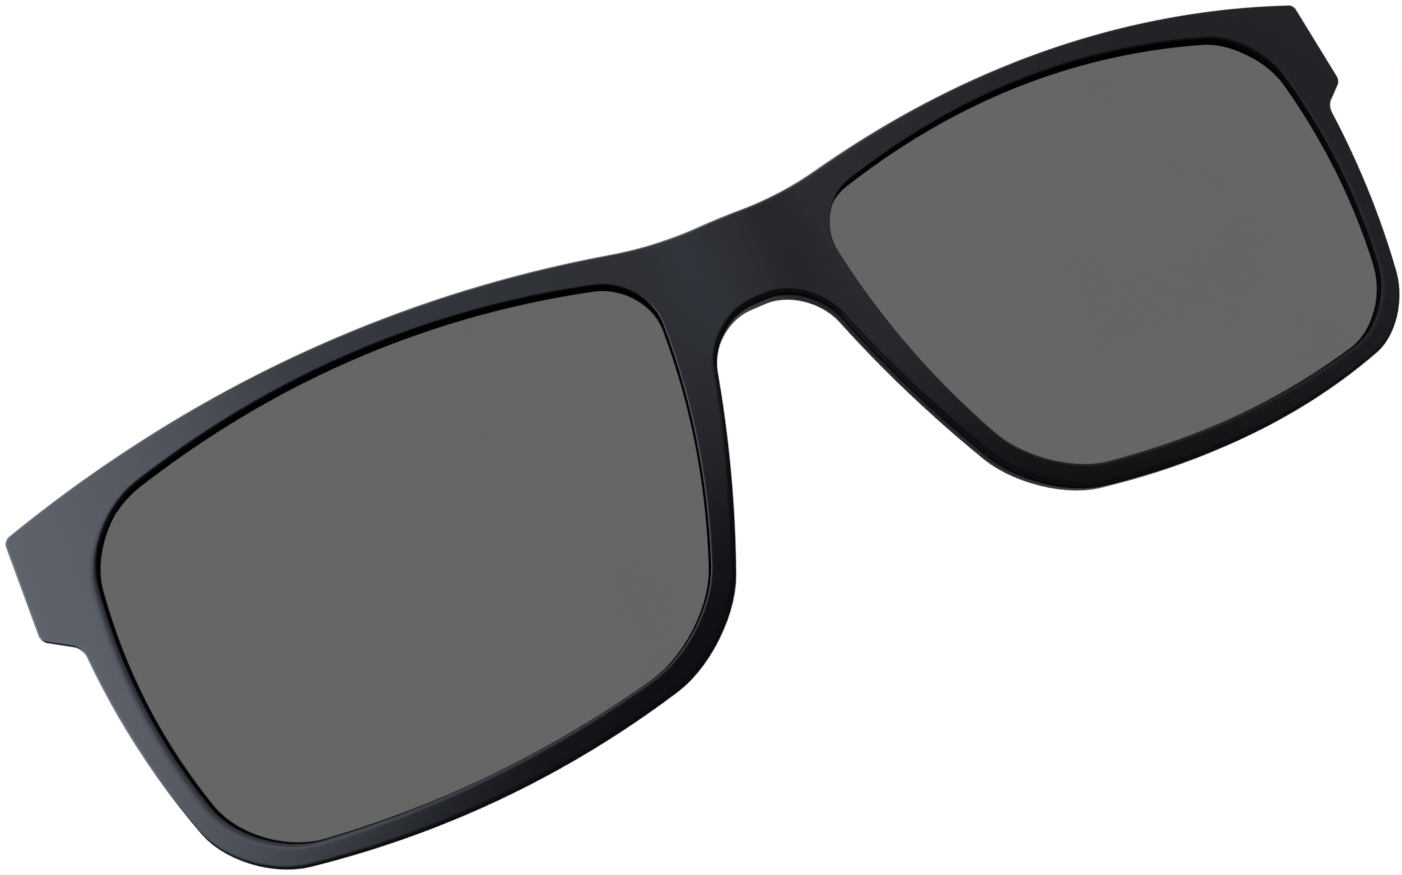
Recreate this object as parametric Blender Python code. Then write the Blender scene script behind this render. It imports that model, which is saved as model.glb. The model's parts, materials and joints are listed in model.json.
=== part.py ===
"""Flip-up clip-on lenses for a spectacle frame.

A moulded front with two tinted lenses hangs on a hinge behind its bridge. The hinge belongs to a small
sprung clip that hooks over and under the bridge of the wearer's own spectacles.

Metres, +Z up. +X is to the right of someone who looks at the front, and the front faces -Y. The pieces are
laid out from the middle of the front face. The origin is then put in the middle of the pad's rear face,
where the clip rests on the spectacle bridge. Right and left in the names are the wearer's.
"""

import math

import bmesh
import bpy
from mathutils import Matrix, Vector

MM = 0.001

# Lens opening, half at +X: corners of its sides before they are rounded
HALF_LENS_GAP = 8.8 * MM
LENS_TOP_WIDTH = 53.8 * MM
LENS_FOOT_WIDTH = 42.0 * MM
LENS_FOOT_INSET = 8.4 * MM
LENS_NASAL_HEIGHT = 31.8 * MM
LENS_FOOT_Z = -16.8 * MM
LENS_TEMPORAL_RISE = 0.35 * MM
LENS_TEMPORAL_DROP = 0.3 * MM
LENS_TOP_BULGE = 4.4 * MM
LENS_TEMPORAL_BULGE = 2.5 * MM
LENS_FOOT_BULGE = 2.45 * MM
LENS_NASAL_BULGE = 1.95 * MM
LENS_TOP_NASAL_ROUND = 4.5 * MM
LENS_TOP_TEMPORAL_ROUND = 5.7 * MM
LENS_FOOT_TEMPORAL_ROUND = 5.6 * MM
LENS_FOOT_NASAL_ROUND = 6.0 * MM

# Outline of the front, set out from the corners of the lens opening
BRIDGE_RISE = 2.65 * MM
BRIDGE_HEIGHT = 9.0 * MM
BROW_START_INSET = 2.25 * MM
BROW_FLATTER = 0.2 * MM
BROW_ROUND = 4.1 * MM
LUG_LENGTH = 7.4 * MM
LUG_RISE = 2.1 * MM
LUG_HEIGHT = 9.8 * MM
LUG_ROUND = 0.6 * MM
LUG_ROOT_SETBACK = 3.2 * MM
LUG_ROOT_DROP = 2.15 * MM
LUG_ROOT_ROUND = 0.8 * MM
TEMPORAL_RIM_FLATTER = 1.45 * MM
FOOT_RIM = 1.4 * MM
FOOT_RIM_FULLER = 0.65 * MM
FOOT_TEMPORAL_RIM = 1.8 * MM
FOOT_TEMPORAL_TIGHTER = 0.15 * MM
FOOT_NASAL_RIM = 1.6 * MM
FOOT_NASAL_WIDER = 0.15 * MM
NASAL_RIM_FLATTER = 1.0 * MM
ARCH_RIM = 3.55 * MM
ARCH_ROUND = 4.45 * MM

# Section of the front and its lenses
EDGE_ROUND = 0.4 * MM
LIP_ROUND = 0.12 * MM
WRAP_RADIUS = 400.0 * MM
BRIDGE_CROWN = 0.8 * MM
LENS_THICKNESS = 0.8 * MM
LENS_RECESS = 0.5 * MM
GROOVE_DEPTH = 0.6 * MM
GROOVE_CLEARANCE = 0.1 * MM
LENS_EDGE_CHAMFER = 0.15 * MM
BACK_LIP = 0.4 * MM
BACK_LIP_SETBACK = 0.8 * MM
BRIDGE_SKIN = 0.5 * MM

# Clearances between the pieces
SEAT_GAP = 0.1 * MM
SLIDE_GAP = 0.2 * MM
KNUCKLE_GAP = 0.3 * MM
RUNNING_GAP = 0.05 * MM

# Flip hinge
HINGE_RISE = 0.2 * MM
KNUCKLE_WALL = 0.55 * MM
MIDDLE_KNUCKLE_HALF = 3.0 * MM
WASHER_THICKNESS = 0.15 * MM
OUTER_KNUCKLE_LENGTH = 2.75 * MM
PIN_RADIUS = 0.6 * MM
PIN_HEAD_LIP = 0.4 * MM
PIN_HEAD_LENGTH = 0.6 * MM
LEAF_THICKNESS = 0.8 * MM
LEAF_TO_ARCH = 2.0 * MM
LEAF_SCREW_INSET = 1.8 * MM
LEAF_SCREW_RISE = 2.3 * MM

# Screws, shared by the leaf and the cover
SCREW_RADIUS = 0.5 * MM
SCREW_HEAD_LIP = 0.25 * MM
SCREW_HEAD_HEIGHT = 0.5 * MM
SCREW_SLOT_WIDTH = 0.25 * MM
SCREW_SLOT_DEPTH = 0.2 * MM

# Clip body and its cover
BODY_WALL = 1.0 * MM
BODY_ROOF = 0.4 * MM
BODY_FLOOR = 0.5 * MM
SCREW_WALL = 0.2 * MM
SOCKET_WALL = 0.3 * MM
COVER_RISE = 0.2 * MM
COVER_SCREW_RISE = 1.4 * MM
CASE_EDGE = 0.3 * MM
PAD_THICKNESS = 0.9 * MM
PAD_MARGIN = 0.3 * MM
PAD_EDGE = 0.2 * MM

# Hooks, sleeves and the sliding jaw
WIRE_RADIUS = 0.45 * MM
HOOK_BEND = 1.1 * MM
HOOK_INSET = 1.2 * MM
HOOK_SOCKET = 3.5 * MM
PAD_TO_HOOK = 0.75 * MM
BAR_DEPTH = 4.35 * MM
BAR_HEIGHT = 5.0 * MM
SLEEVE_WALL = 0.25 * MM
SLEEVE_LENGTH = 1.9 * MM
LOOP_RADIUS = 1.5 * MM
LOOP_RISE = 0.5 * MM
JAW_HEAD_HEIGHT = 0.8 * MM
JAW_WALL = 0.2 * MM
JAW_STEM_FOOT = 0.3 * MM
JAW_TRAVEL = 2.0 * MM
SPRING_BAY = 2.4 * MM
SPRING_WIRE = 0.13 * MM
SPRING_TURNS = 5

# How finely curves are drawn
SIDE_STEPS = 9
CORNER_STEPS = 6
EDGE_STEPS = 2
ROUND_SIDES = 24
WIRE_SIDES = 10
SPRING_SIDES = 6
SPRING_STEPS = 14
BEND_STEPS = 5
BRIDGE_STEPS = 9
LENS_STEPS = 7
CIRCLE_HANDLE = 0.552
CUTTER_REACH = 1.0 * MM

# Places that follow from the sizes above: heights of the front
LENS_TOP_Z = LENS_FOOT_Z + LENS_NASAL_HEIGHT
BRIDGE_TOP = LENS_TOP_Z + BRIDGE_RISE
LENS_TEMPORAL_X = HALF_LENS_GAP + LENS_TOP_WIDTH
LUG_X = LENS_TEMPORAL_X + LUG_LENGTH
LUG_TOP = LENS_TOP_Z + LENS_TEMPORAL_RISE + LUG_RISE
ARCH_TOP = BRIDGE_TOP - BRIDGE_HEIGHT
FRONT_THICKNESS = LENS_RECESS + LENS_THICKNESS + GROOVE_CLEARANCE + BACK_LIP

# Sizes and places of the hinge
PIN_BORE = PIN_RADIUS + RUNNING_GAP
PIN_HEAD_RADIUS = PIN_RADIUS + PIN_HEAD_LIP
KNUCKLE_RADIUS = PIN_BORE + KNUCKLE_WALL
SCREW_HEAD_RADIUS = SCREW_RADIUS + SCREW_HEAD_LIP
LEAF_HALF_WIDTH = MIDDLE_KNUCKLE_HALF + WASHER_THICKNESS + 2 * RUNNING_GAP + OUTER_KNUCKLE_LENGTH
LEAF_FRONT = FRONT_THICKNESS + LEAF_HALF_WIDTH**2 / (2 * WRAP_RADIUS) + SEAT_GAP
LEAF_BACK = LEAF_FRONT + LEAF_THICKNESS
BODY_FRONT = LEAF_BACK + KNUCKLE_GAP
HINGE_Y = BODY_FRONT + KNUCKLE_RADIUS
HINGE_Z = BRIDGE_TOP + HINGE_RISE
LEAF_FOOT = ARCH_TOP + LEAF_TO_ARCH
LEAF_SCREW_X = LEAF_HALF_WIDTH - LEAF_SCREW_INSET
LEAF_SCREW_Z = LEAF_FOOT + LEAF_SCREW_RISE
LEAF_SCREW_DEPTH = FRONT_THICKNESS - BRIDGE_SKIN - SEAT_GAP

# Sizes and places of the clip body, the cover and the pad
WIRE_BORE = WIRE_RADIUS + RUNNING_GAP
JAW_STEM_HALF = LOOP_RADIUS + WIRE_BORE + JAW_WALL
POCKET_HALF_WIDTH = JAW_STEM_HALF + SPRING_BAY
BODY_SIDE = 2 * (SCREW_HEAD_RADIUS + RUNNING_GAP + SCREW_WALL)
BODY_HALF_WIDTH = POCKET_HALF_WIDTH + BODY_SIDE
BODY_BACK = HINGE_Y + KNUCKLE_RADIUS
BODY_TOP = HINGE_Z - KNUCKLE_RADIUS - KNUCKLE_GAP
POCKET_FRONT = BODY_FRONT + BODY_WALL
POCKET_TOP = BODY_TOP - BODY_ROOF
JAW_TOP = POCKET_TOP - SLIDE_GAP
JAW_HEAD_FOOT = JAW_TOP - JAW_HEAD_HEIGHT
SPRING_PACKED = (SPRING_TURNS + 1) * 2 * SPRING_WIRE
POCKET_FOOT = JAW_HEAD_FOOT - JAW_TRAVEL - SPRING_PACKED
BODY_FOOT = POCKET_FOOT - BODY_FLOOR
COVER_THICKNESS = 2 * (WIRE_BORE + SOCKET_WALL)
COVER_FRONT = BODY_BACK + SLIDE_GAP
COVER_BACK = COVER_FRONT + COVER_THICKNESS
COVER_MIDDLE = (COVER_FRONT + COVER_BACK) / 2
COVER_TOP = HINGE_Z + COVER_RISE
COVER_SCREW_X = BODY_HALF_WIDTH - BODY_SIDE / 2
COVER_SCREW_Z = BODY_FOOT + COVER_SCREW_RISE
COVER_SCREW_DEPTH = COVER_FRONT - POCKET_FRONT - SEAT_GAP
PAD_BACK = COVER_BACK + SEAT_GAP + PAD_THICKNESS

# Places of the hooks and the jaw
HOOK_X = BODY_HALF_WIDTH - HOOK_INSET
HOOK_TIP = HOOK_BEND + SLEEVE_LENGTH - SEAT_GAP
UPPER_HOOK_Z = COVER_TOP + SEAT_GAP + HOOK_BEND
LOWER_HOOK_Z = UPPER_HOOK_Z - 2 * WIRE_RADIUS - BAR_HEIGHT
SLEEVE_RADIUS = WIRE_BORE + SLEEVE_WALL
HOOK_Y = PAD_BACK + BAR_DEPTH + SLEEVE_RADIUS
JAW_FRONT = POCKET_FRONT + SLIDE_GAP
JAW_BACK = BODY_BACK - SLIDE_GAP
JAW_FOOT = LOWER_HOOK_Z - WIRE_RADIUS - JAW_STEM_FOOT
SLOT_HALF_WIDTH = LOOP_RADIUS + WIRE_RADIUS + SLIDE_GAP
SLOT_TOP = LOWER_HOOK_Z + WIRE_RADIUS + SLIDE_GAP
PAD_TOP = COVER_TOP - PAD_MARGIN
PAD_FOOT = SLOT_TOP + PAD_MARGIN
PAD_HALF_WIDTH = HOOK_X - WIRE_RADIUS - PAD_TO_HOOK

# The origin, and the points that carry the moving pieces
SEAT = Vector((0.0, PAD_BACK, (PAD_TOP + PAD_FOOT) / 2))
HINGE = Vector((0.0, HINGE_Y, HINGE_Z))
JAW = Vector((0.0, (JAW_FRONT + JAW_BACK) / 2, LOWER_HOOK_Z))


# Outlines

def side_point(start, end, bulge, share):
    """Point of a shallow curve from start to end that stands out to its left by bulge."""
    along = end - start
    left = Vector((-along.y, along.x)).normalized()
    return start + along * share + left * (4 * bulge * share * (1 - share))


def side_heading(start, end, bulge, share):
    """Direction of travel on the same curve."""
    along = end - start
    left = Vector((-along.y, along.x)).normalized()
    return (along + left * (4 * bulge * (1 - 2 * share))).normalized()


def corner_points(start, heading_in, end, heading_out):
    """Points of a round corner, without its two ends."""
    turn = heading_in.x * heading_out.y - heading_in.y * heading_out.x
    gap = end - start
    reach = (gap.x * heading_out.y - gap.y * heading_out.x) / turn
    corner = start + heading_in * reach
    near = start.lerp(corner, CIRCLE_HANDLE)
    far = end.lerp(corner, CIRCLE_HANDLE)
    points = []
    for step in range(1, CORNER_STEPS):
        t = step / CORNER_STEPS
        s = 1 - t
        points.append(s**3 * start + 3 * s * s * t * near + 3 * s * t * t * far + t**3 * end)
    return points


def rounded_outline(corners, closed):
    """Points of an outline given as (x, z, rounding, bulge of the side that follows)."""
    count = len(corners)
    sides = count if closed else count - 1
    places = [Vector((x, z)) for x, z, _, _ in corners]
    spans = []
    for i in range(sides):
        after = (i + 1) % count
        length = (places[after] - places[i]).length
        spans.append((places[i], places[after], corners[i][3], corners[i][2] / length,
                      1 - corners[after][2] / length))
    points = []
    for i, (start, end, bulge, first, last) in enumerate(spans):
        for step in range(SIDE_STEPS + 1):
            share = first + (last - first) * step / SIDE_STEPS
            points.append(side_point(start, end, bulge, share))
        if closed or i < sides - 1:
            ahead = spans[(i + 1) % sides]
            points += corner_points(
                points[-1], side_heading(start, end, bulge, last),
                side_point(ahead[0], ahead[1], ahead[2], ahead[3]),
                side_heading(ahead[0], ahead[1], ahead[2], ahead[3]))
    return points


def lens_outline():
    """Front edge of the lens opening at +X, clockwise as seen from the front."""
    foot_x = HALF_LENS_GAP + LENS_FOOT_INSET
    return rounded_outline([
        (HALF_LENS_GAP, LENS_TOP_Z, LENS_TOP_NASAL_ROUND, LENS_TOP_BULGE),
        (LENS_TEMPORAL_X, LENS_TOP_Z + LENS_TEMPORAL_RISE, LENS_TOP_TEMPORAL_ROUND, LENS_TEMPORAL_BULGE),
        (foot_x + LENS_FOOT_WIDTH, LENS_FOOT_Z - LENS_TEMPORAL_DROP, LENS_FOOT_TEMPORAL_ROUND,
         LENS_FOOT_BULGE),
        (foot_x, LENS_FOOT_Z, LENS_FOOT_NASAL_ROUND, LENS_NASAL_BULGE),
    ], closed=True)


def front_outline():
    """Outer edge of the whole front, clockwise as seen from the front."""
    foot_x = HALF_LENS_GAP + LENS_FOOT_INSET
    foot = LENS_FOOT_Z - LENS_TEMPORAL_DROP - FOOT_RIM
    half = rounded_outline([
        (0.0, BRIDGE_TOP, 0.0, 0.0),
        (HALF_LENS_GAP - BROW_START_INSET, BRIDGE_TOP, BROW_ROUND, LENS_TOP_BULGE - BROW_FLATTER),
        (LUG_X, LUG_TOP, LUG_ROUND, 0.0),
        (LUG_X, LUG_TOP - LUG_HEIGHT, LUG_ROUND, 0.0),
        (LUG_X - LUG_ROOT_SETBACK, LUG_TOP - LUG_HEIGHT - LUG_ROOT_DROP, LUG_ROOT_ROUND,
         LENS_TEMPORAL_BULGE - TEMPORAL_RIM_FLATTER),
        (foot_x + LENS_FOOT_WIDTH + FOOT_TEMPORAL_RIM, foot,
         LENS_FOOT_TEMPORAL_ROUND - FOOT_TEMPORAL_TIGHTER, LENS_FOOT_BULGE + FOOT_RIM_FULLER),
        (foot_x - FOOT_NASAL_RIM, foot, LENS_FOOT_NASAL_ROUND + FOOT_NASAL_WIDER,
         LENS_NASAL_BULGE - NASAL_RIM_FLATTER),
        (HALF_LENS_GAP - ARCH_RIM, ARCH_TOP, ARCH_ROUND, 0.0),
        (0.0, ARCH_TOP, 0.0, 0.0),
    ], closed=False)
    return half + mirrored(half[1:-1])


def mirrored(points):
    """The same points at -X, in the order that keeps the direction of travel."""
    return [Vector((-p.x, p.y)) for p in reversed(points)]


def circle(centre, radius):
    """Points of a circle in the plane of the front."""
    turns = [2 * math.pi * i / ROUND_SIDES for i in range(ROUND_SIDES)]
    return [Vector((centre.x + radius * math.sin(a), centre.y + radius * math.cos(a))) for a in turns]


def grown(points, distance):
    """The outline moved outwards, to the left of its travel."""
    moved = []
    for i, p in enumerate(points):
        along = points[(i + 1) % len(points)] - points[i - 1]
        moved.append(p + Vector((-along.y, along.x)).normalized() * distance)
    return moved


def set_back(points):
    """The lens opening behind the lens, which is wider towards the temple."""
    moved = []
    for p in points:
        share = (abs(p.x) - HALF_LENS_GAP) / LENS_TOP_WIDTH
        moved.append(p + Vector((math.copysign(BACK_LIP_SETBACK * share, p.x), 0.0)))
    return moved


# Mesh building

def ring(mesh, points, y):
    return [mesh.verts.new((p.x, y, p.y)) for p in points]


def loft(mesh, rings):
    """Skin a list of rings that have as many points each."""
    for near, far in zip(rings, rings[1:]):
        for i in range(len(near)):
            j = (i + 1) % len(near)
            mesh.faces.new((near[i], near[j], far[j], far[i]))


def fill(mesh, loops):
    """Flat face between an outer loop and the loops inside it. Returns its triangles."""
    edges = []
    for loop in loops:
        for i, vert in enumerate(loop):
            edges.append(mesh.edges.get((vert, loop[(i + 1) % len(loop)])))
    made = bmesh.ops.triangle_fill(mesh, use_beauty=True, edges=edges, normal=(0.0, 1.0, 0.0))
    return [item for item in made["geom"] if isinstance(item, bmesh.types.BMFace)]


def slice_faces(mesh, faces, half_width, cuts, centre=0.0):
    """Cut faces by upright planes, so that they can follow a bend."""
    for i in range(cuts):
        x = centre - half_width + 2 * half_width * (i + 0.5) / cuts
        edges = {edge for face in faces for edge in face.edges}
        verts = {vert for face in faces for vert in face.verts}
        cut = bmesh.ops.bisect_plane(
            mesh, geom=list(verts) + list(edges) + list(faces), dist=1e-6,
            plane_co=(x, 0.0, 0.0), plane_no=(1.0, 0.0, 0.0))
        faces = [item for item in cut["geom"] if isinstance(item, bmesh.types.BMFace)]


def wrap(mesh):
    """Bend the front round the face, and crown the front of its bridge."""
    for vert in mesh.verts:
        x, y, _ = vert.co
        crown = 0.0
        if abs(x) < HALF_LENS_GAP:
            crown = BRIDGE_CROWN * math.cos(math.pi * x / (2 * HALF_LENS_GAP)) ** 2
        share = max(0.0, 1 - y / FRONT_THICKNESS)
        vert.co.y = y + x * x / (2 * WRAP_RADIUS) - crown * share


def box(mesh, low, high):
    """Box between two corners."""
    low, high = Vector(low), Vector(high)
    place = Matrix.Translation((low + high) / 2) @ Matrix.Diagonal((high - low).to_4d())
    return bmesh.ops.create_cube(mesh, size=1.0, matrix=place)["verts"]


def soften(mesh, width):
    """Chamfer every edge of a block."""
    bmesh.ops.bevel(mesh, geom=mesh.edges[:], offset=width, segments=1, profile=0.5, affect="EDGES")


def prism(mesh, profile, start, end, axis):
    """Profile of (y, z) drawn along X, or of (x, z) drawn along Y."""
    rings = []
    for place in (start, end):
        if axis == "X":
            rings.append([mesh.verts.new((place, a, b)) for a, b in profile])
        else:
            rings.append([mesh.verts.new((a, place, b)) for a, b in profile])
    loft(mesh, rings)
    mesh.faces.new(rings[0])
    mesh.faces.new(rings[1])


def lathe(mesh, profile, centre, axis, sides=ROUND_SIDES):
    """Turn a closed profile of (radius, place along the axis); a radius of 0 lies on the axis."""
    axis = Vector(axis)
    across = axis.orthogonal().normalized()
    other = axis.cross(across)
    rings = []
    for radius, place in profile:
        middle = Vector(centre) + axis * place
        if radius == 0.0:
            rings.append([mesh.verts.new(middle)])
            continue
        turns = [2 * math.pi * i / sides for i in range(sides)]
        rings.append([mesh.verts.new(middle + (across * math.cos(a) + other * math.sin(a)) * radius)
                      for a in turns])
    hollow = all(len(points) > 1 for points in rings)
    pairs = list(zip(rings, rings[1:])) + ([(rings[-1], rings[0])] if hollow else [])
    for near, far in pairs:
        for i in range(sides):
            j = (i + 1) % sides
            corners = [near[i % len(near)], near[j % len(near)], far[j % len(far)], far[i % len(far)]]
            corners = list(dict.fromkeys(corners))
            if len(corners) > 2:
                mesh.faces.new(corners)


def sweep(mesh, path, radius, sides, bore=0.0):
    """Round wire along a path, or a tube where it has a bore."""
    forward = (path[1] - path[0]).normalized()
    across = forward.orthogonal().normalized()
    skins = [radius] + ([bore] if bore else [])
    rings = [[] for _ in skins]
    for i, place in enumerate(path):
        ahead = (path[min(i + 1, len(path) - 1)] - path[max(i - 1, 0)]).normalized()
        across = (across - ahead * across.dot(ahead)).normalized()
        other = ahead.cross(across)
        for skin, size in enumerate(skins):
            turns = [2 * math.pi * k / sides for k in range(sides)]
            rings[skin].append([mesh.verts.new(place + (across * math.cos(a) + other * math.sin(a)) * size)
                                for a in turns])
    for skin in rings:
        loft(mesh, skin)
    if bore:
        loft(mesh, [rings[0][0], rings[1][0]])
        loft(mesh, [rings[0][-1], rings[1][-1]])
    else:
        mesh.faces.new(rings[0][0])
        mesh.faces.new(rings[0][-1])


def bend(corner, before, after, radius):
    """Points of a round bend at a corner, between the directions before and after it."""
    start = corner - before * radius
    centre = start + after * radius
    turns = [math.pi / 2 * i / BEND_STEPS for i in range(BEND_STEPS + 1)]
    return [centre - after * radius * math.cos(a) + before * radius * math.sin(a) for a in turns]


# Objects

def material(name, colour, roughness, metallic=0.0, transmission=0.0):
    finish = bpy.data.materials.new(name)
    finish.use_nodes = True
    shader = finish.node_tree.nodes["Principled BSDF"]
    shader.inputs["Base Color"].default_value = (*colour, 1.0)
    shader.inputs["Roughness"].default_value = roughness
    shader.inputs["Metallic"].default_value = metallic
    shader.inputs["Transmission Weight"].default_value = transmission
    return finish


def carrier(name, place):
    """Empty that a group of pieces moves with, at the place that it turns or slides on."""
    empty = bpy.data.objects.new(name, None)
    empty.location = place - SEAT
    empty.empty_display_size = KNUCKLE_RADIUS
    bpy.context.collection.objects.link(empty)
    empty["place"] = place[:]
    return empty


def piece(name, mesh, holder, finish=None):
    """Object made of a mesh that was laid out from the middle of the front face."""
    bmesh.ops.recalc_face_normals(mesh, faces=mesh.faces[:])
    bmesh.ops.translate(mesh, verts=mesh.verts[:], vec=-Vector(holder["place"]))
    data = bpy.data.meshes.new(name)
    mesh.to_mesh(data)
    mesh.free()
    data.shade_smooth()
    data.set_sharp_from_angle(angle=math.radians(35))
    thing = bpy.data.objects.new(name, data)
    thing.parent = holder
    if finish:
        data.materials.append(finish)
    bpy.context.collection.objects.link(thing)
    return thing


def combine(thing, mesh, operation):
    """Join a mesh to an object, or cut it out of the object."""
    tool = piece(f"{thing.name}_{operation.lower()}_{len(thing.modifiers)}", mesh, thing.parent)
    tool.hide_render = True
    tool.display_type = "WIRE"
    change = thing.modifiers.new(tool.name, "BOOLEAN")
    change.operation = operation
    change.solver = "EXACT"
    change.object = tool


# The front

def front_frame(holder, finish):
    mesh = bmesh.new()
    outer = front_outline()
    quarter = [math.pi / 2 * i / EDGE_STEPS for i in range(EDGE_STEPS + 1)]
    groove_start = LENS_RECESS - GROOVE_CLEARANCE
    groove_end = LENS_RECESS + LENS_THICKNESS + GROOVE_CLEARANCE
    lip_round = min(LIP_ROUND, 0.8 * (FRONT_THICKNESS - groove_end), 0.8 * groove_start)

    def edge(points, size, outwards, face, inwards):
        """Rings of a round edge, from the flat face at one depth to the wall that goes inwards from it."""
        rings = []
        for turn in quarter:
            shift = outwards * size * (1 - math.sin(turn))
            depth = size * (1 - math.cos(turn))
            rings.append(ring(mesh, grown(points, shift), face + inwards * depth))
        return rings

    front = edge(outer, EDGE_ROUND, -1, 0.0, 1)
    back = edge(outer, EDGE_ROUND, -1, FRONT_THICKNESS, -1)
    loft(mesh, front + back[::-1])
    front_loops, back_loops = [front[0]], [back[0]]
    lens = lens_outline()
    for points in (lens, mirrored(lens)):
        behind = set_back(points)
        front = edge(points, lip_round, 1, 0.0, 1)
        back = edge(behind, lip_round, 1, FRONT_THICKNESS, -1)
        groove = grown(points, GROOVE_DEPTH)
        step = [ring(mesh, points, groove_start), ring(mesh, groove, groove_start),
                ring(mesh, groove, groove_end), ring(mesh, behind, groove_end)]
        loft(mesh, front + step + back[::-1])
        front_loops.append(front[0])
        back_loops.append(back[0])
    for x in (-LEAF_SCREW_X, LEAF_SCREW_X):
        hole = circle(Vector((x, LEAF_SCREW_Z)), SCREW_RADIUS + RUNNING_GAP)
        bottom = FRONT_THICKNESS - LEAF_SCREW_DEPTH - SEAT_GAP
        mouth, end = ring(mesh, hole, FRONT_THICKNESS), ring(mesh, hole, bottom)
        loft(mesh, [mouth, end])
        mesh.faces.new(end)
        back_loops.append(mouth)
    for loops in (front_loops, back_loops):
        slice_faces(mesh, fill(mesh, loops), HALF_LENS_GAP, BRIDGE_STEPS)
    wrap(mesh)
    piece("front_frame", mesh, holder, finish)


def lens(name, points, centre, holder, finish):
    """Lens whose edge lies in the groove of the rim."""
    mesh = bmesh.new()
    edge = grown(points, GROOVE_DEPTH - GROOVE_CLEARANCE)
    face = grown(points, GROOVE_DEPTH - GROOVE_CLEARANCE - LENS_EDGE_CHAMFER)
    back = LENS_RECESS + LENS_THICKNESS
    rings = [ring(mesh, face, LENS_RECESS), ring(mesh, edge, LENS_RECESS + LENS_EDGE_CHAMFER),
             ring(mesh, edge, back - LENS_EDGE_CHAMFER), ring(mesh, face, back)]
    loft(mesh, rings)
    for loop in (rings[0], rings[-1]):
        slice_faces(mesh, fill(mesh, [loop]), LENS_TOP_WIDTH / 2, LENS_STEPS, centre)
    wrap(mesh)
    piece(name, mesh, holder, finish)


# The flip hinge

def over_pin(turn):
    """Point (y, z) of a knuckle's round side."""
    return HINGE_Y + KNUCKLE_RADIUS * math.cos(turn), HINGE_Z + KNUCKLE_RADIUS * math.sin(turn)


def knuckle_profile(front, foot):
    """Strap of a hinge in (y, z): up its front, over the pin and back to its underside."""
    turns = [math.radians(150 - 240 * i / ROUND_SIDES) for i in range(ROUND_SIDES + 1)]
    return [(front, foot), (front, HINGE_Z)] + [over_pin(turn) for turn in turns] + [(HINGE_Y, foot)]


def pin_bore():
    mesh = bmesh.new()
    reach = LEAF_HALF_WIDTH + CUTTER_REACH
    lathe(mesh, [(0.0, -reach), (PIN_BORE, -reach), (PIN_BORE, reach), (0.0, reach)], HINGE, (1, 0, 0))
    return mesh


def screw_profile(clearance, depth):
    """Countersunk screw as (radius, place along it), from the middle of its head's face to its tip."""
    head, shank = SCREW_HEAD_RADIUS + clearance, SCREW_RADIUS + clearance
    tip = -depth - clearance
    return [(0.0, 0.0), (head, 0.0), (shank, -SCREW_HEAD_HEIGHT), (shank, tip), (0.0, tip)]


def screw(name, x, face, z, depth, holder, finish):
    """Slotted countersunk screw that goes in towards -Y, with its head flush with a face."""
    mesh = bmesh.new()
    lathe(mesh, screw_profile(0.0, depth), (x, face, z), (0, 1, 0))
    thing = piece(name, mesh, holder, finish)
    slot = bmesh.new()
    reach = 2 * SCREW_HEAD_RADIUS
    box(slot, (x - reach, face - SCREW_SLOT_DEPTH, z - SCREW_SLOT_WIDTH / 2),
        (x + reach, face + SCREW_SLOT_DEPTH, z + SCREW_SLOT_WIDTH / 2))
    combine(thing, slot, "DIFFERENCE")


def screw_hole(x, face, z, depth):
    mesh = bmesh.new()
    mouth = SCREW_HEAD_RADIUS + RUNNING_GAP
    profile = [(0.0, CUTTER_REACH), (mouth, CUTTER_REACH)] + screw_profile(RUNNING_GAP, depth)[1:]
    lathe(mesh, profile, (x, face, z), (0, 1, 0))
    return mesh


def hinge_leaf(holder, finish):
    mesh = bmesh.new()
    plate_top = HINGE_Z - KNUCKLE_RADIUS
    box(mesh, (-LEAF_HALF_WIDTH, LEAF_FRONT, LEAF_FOOT), (LEAF_HALF_WIDTH, LEAF_BACK, plate_top))
    leaf = piece("hinge_leaf", mesh, holder, finish)
    inner = LEAF_HALF_WIDTH - OUTER_KNUCKLE_LENGTH
    for sign in (-1, 1):
        knuckle = bmesh.new()
        prism(knuckle, knuckle_profile(LEAF_FRONT, plate_top - SEAT_GAP), sign * inner,
              sign * LEAF_HALF_WIDTH, "X")
        combine(leaf, knuckle, "UNION")
    combine(leaf, pin_bore(), "DIFFERENCE")
    for x in (-LEAF_SCREW_X, LEAF_SCREW_X):
        combine(leaf, screw_hole(x, LEAF_BACK, LEAF_SCREW_Z, LEAF_THICKNESS + CUTTER_REACH), "DIFFERENCE")


def hinge_pin(holder, finish):
    mesh = bmesh.new()
    shoulder = LEAF_HALF_WIDTH + SEAT_GAP
    end = shoulder + PIN_HEAD_LENGTH
    lathe(mesh, [(0.0, -end), (PIN_RADIUS, -end), (PIN_RADIUS, shoulder), (PIN_HEAD_RADIUS, shoulder),
                 (PIN_HEAD_RADIUS, end), (0.0, end)], HINGE, (1, 0, 0))
    piece("hinge_pin", mesh, holder, finish)
    collar = bmesh.new()
    lathe(collar, [(PIN_BORE, -end), (PIN_HEAD_RADIUS, -end), (PIN_HEAD_RADIUS, -shoulder),
                   (PIN_BORE, -shoulder)], HINGE, (1, 0, 0))
    piece("hinge_pin_collar", collar, holder, finish)


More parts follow.
